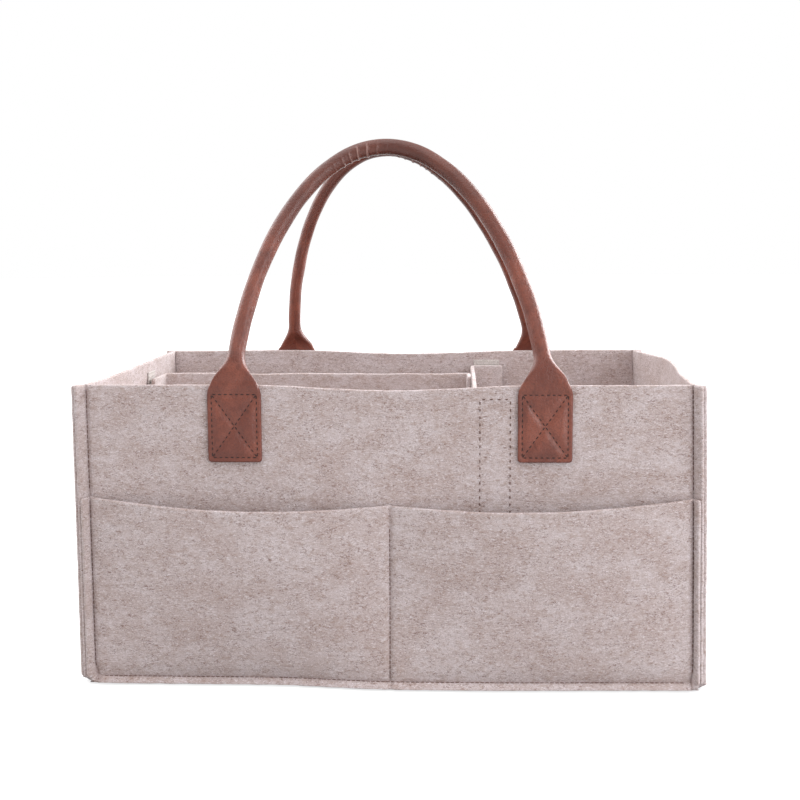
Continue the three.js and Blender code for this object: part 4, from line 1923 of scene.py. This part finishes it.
@dataclass(frozen=True)
class Studio:
    """A plain pale floor, soft light and the camera."""

    eye: Colour = (0.0410, -0.8838, 0.2696)
    yaw: float = math.radians(-2.6)
    pitch: float = math.radians(7.07)
    roll: float = math.radians(-0.30)
    lens: float = 57.99
    sensor: float = 36.0
    sky: Colour = (0.98, 0.985, 1.0)
    sky_strength: float = 0.65
    floor_colour: Colour = (0.40, 0.40, 0.40)
    floor_glow: float = 0.74
    lamps: tuple[Lamp, ...] = (
        Lamp("window", (1.2, 0.8, 0.85), (0, 0, 0.2), 1.2, 40, (0.95, 0.98, 1.0)),
        Lamp("bounce", (-1.3, 0.5, 1.05), (0, 0, 0.15), 1.5, 20, (0.98, 0.99, 1.0)),
        Lamp("ceiling", (-0.2, -0.45, 1.9), (0, 0, 0.15), 2.2, 22, (0.98, 0.99, 1.0)),
        Lamp("fill", (1.5, -1.4, 0.5), (0, 0, 0.1), 1.4, 21, (0.95, 0.97, 1.0)))

    def make_camera(self) -> None:
        """Builds the camera from where it stands and the way it looks."""
        forward = Vector((math.sin(self.yaw) * math.cos(self.pitch),
                          math.cos(self.yaw) * math.cos(self.pitch), -math.sin(self.pitch)))
        level = Vector((math.cos(self.yaw), -math.sin(self.yaw), 0))
        upright = level.cross(forward)
        right = level * math.cos(self.roll) + upright * math.sin(self.roll)
        up = upright * math.cos(self.roll) - level * math.sin(self.roll)
        data = bpy.data.cameras.new("camera")
        data.lens, data.sensor_width = self.lens, self.sensor
        data.clip_start, data.clip_end = 0.01, 50
        camera = bpy.data.objects.new("camera", data)
        turn = Matrix((right, up, -forward)).transposed().to_4x4()
        camera.matrix_world = Matrix.Translation(self.eye) @ turn
        bpy.context.scene.collection.objects.link(camera)
        bpy.context.scene.camera = camera

    def make_floor(self) -> None:
        """Builds the floor, which the camera sees as white except in shadow."""
        sheet = NodeSheet("pale_floor")
        rays = sheet.node("ShaderNodeLightPath")
        seen = sheet.sum("MAXIMUM", rays.outputs["Is Camera Ray"], rays.outputs["Is Glossy Ray"])
        mottle = sheet.noise(sheet.place((9, 9, 9)), detail=2)
        dim = tuple(value * 0.985 for value in self.floor_colour)
        sheet.set(Base_Color=sheet.tint(mottle, dim, self.floor_colour), Roughness=0.9,
                  Specular_IOR_Level=0.1, Emission_Color=(1, 1, 1, 1),
                  Emission_Strength=sheet.sum("MULTIPLY", seen, self.glow(sheet)))
        bm = bmesh.new()
        bmesh.ops.create_circle(bm, cap_ends=True, segments=96, radius=9.0)
        floor = as_piece("floor", bm, sheet.material)

    def glow(self, sheet: NodeSheet) -> Socket:
        """How brightly the floor shines for the camera: more where the lamps no longer reach.

        Args:
            sheet: the material's nodes.

        Returns:
            The strength.
        """
        away = sheet.node("ShaderNodeVectorMath", operation="LENGTH")
        sheet.feed(away.inputs[0], sheet.coordinates.outputs["Object"])
        return sheet.ramp(away.outputs["Value"], 0.5, 1.6, to_low=self.floor_glow, to_high=1.0)

    def make_sky(self) -> None:
        """Lights the scene from all round, and gives the camera and reflections a white ground."""
        world = bpy.data.worlds.new("studio")
        world.use_nodes = True
        nodes = world.node_tree.nodes
        lit = nodes["Background"]
        white, rays, seen, blend = (nodes.new(f"ShaderNode{kind}") for kind in
                                    ("Background", "LightPath", "Math", "MixShader"))
        seen.operation = "MAXIMUM"
        lit.inputs["Color"].default_value = (*self.sky, 1)
        lit.inputs["Strength"].default_value = self.sky_strength
        white.inputs["Color"].default_value = (1, 1, 1, 1)
        for output, socket in ((rays.outputs["Is Camera Ray"], seen.inputs[0]),
                               (rays.outputs["Is Glossy Ray"], seen.inputs[1]),
                               (seen.outputs[0], blend.inputs[0]),
                               (lit.outputs[0], blend.inputs[1]),
                               (white.outputs[0], blend.inputs[2]),
                               (blend.outputs[0], nodes["World Output"].inputs["Surface"])):
            world.node_tree.links.new(output, socket)
        bpy.context.scene.world = world

    def make(self) -> None:
        """Builds the whole studio."""
        self.make_camera()
        self.make_floor()
        self.make_sky()
        for lamp in self.lamps:
            lamp.make()
        bpy.context.scene.view_settings.view_transform = "Standard"


def report(pieces: Iterable[Piece]) -> None:
    """Logs each piece with its faces."""
    for piece in pieces:
        log.info("%s: %d faces", piece.name, len(piece.data.polygons))


def main() -> None:
    """Builds every piece of the caddy, and the studio round it."""
    felt = MelangeFelt("melange_felt").make()
    insert_felt = MelangeFelt("insert_felt", ground=(0.56, 0.455, 0.43), fleck_share=0.4).make()
    seam_thread = Yarn("seam_thread", (0.215, 0.125, 0.100), (0.13, 0.075, 0.06)).make()
    handle_thread = Yarn("handle_thread", (0.045, 0.018, 0.014), (0.02, 0.009, 0.008),
                         roughness=0.6).make()
    rope = Yarn("core_rope", (0.70, 0.63, 0.53), (0.52, 0.45, 0.36), strand=1500).make()
    loop = Yarn("loop_pile", (0.68, 0.62, 0.59), (0.50, 0.44, 0.41), strand=1800).make()
    hook = Yarn("hook_tape", (0.62, 0.56, 0.53), (0.44, 0.39, 0.37), strand=2200).make()
    body = FeltBody()
    report(body.make(felt))
    report(Seams(body).make(seam_thread))
    front = Handle(body, Wall.FRONT, lean=math.radians(22), sag=-0.0043)
    back = Handle(body, Wall.BACK, lean=math.radians(9), sag=0.019, tab_shift=-0.006, radius=0.0046,
                  leather=0.0016, core=0.0027)
    leather = GrainedLeather("grained_leather", middle=front.total / 2).make()
    report(front.make(leather, rope, handle_thread))
    report(back.make(leather, rope, handle_thread))
    divider = Divider(body)
    report(divider.make(insert_felt))
    for wall in (Wall.FRONT, Wall.BACK, Wall.LEFT):
        report(Fastening(body, wall, divider.travel).make(loop, hook, seam_thread))
    Studio().make()


if __name__ == "__main__":
    main()
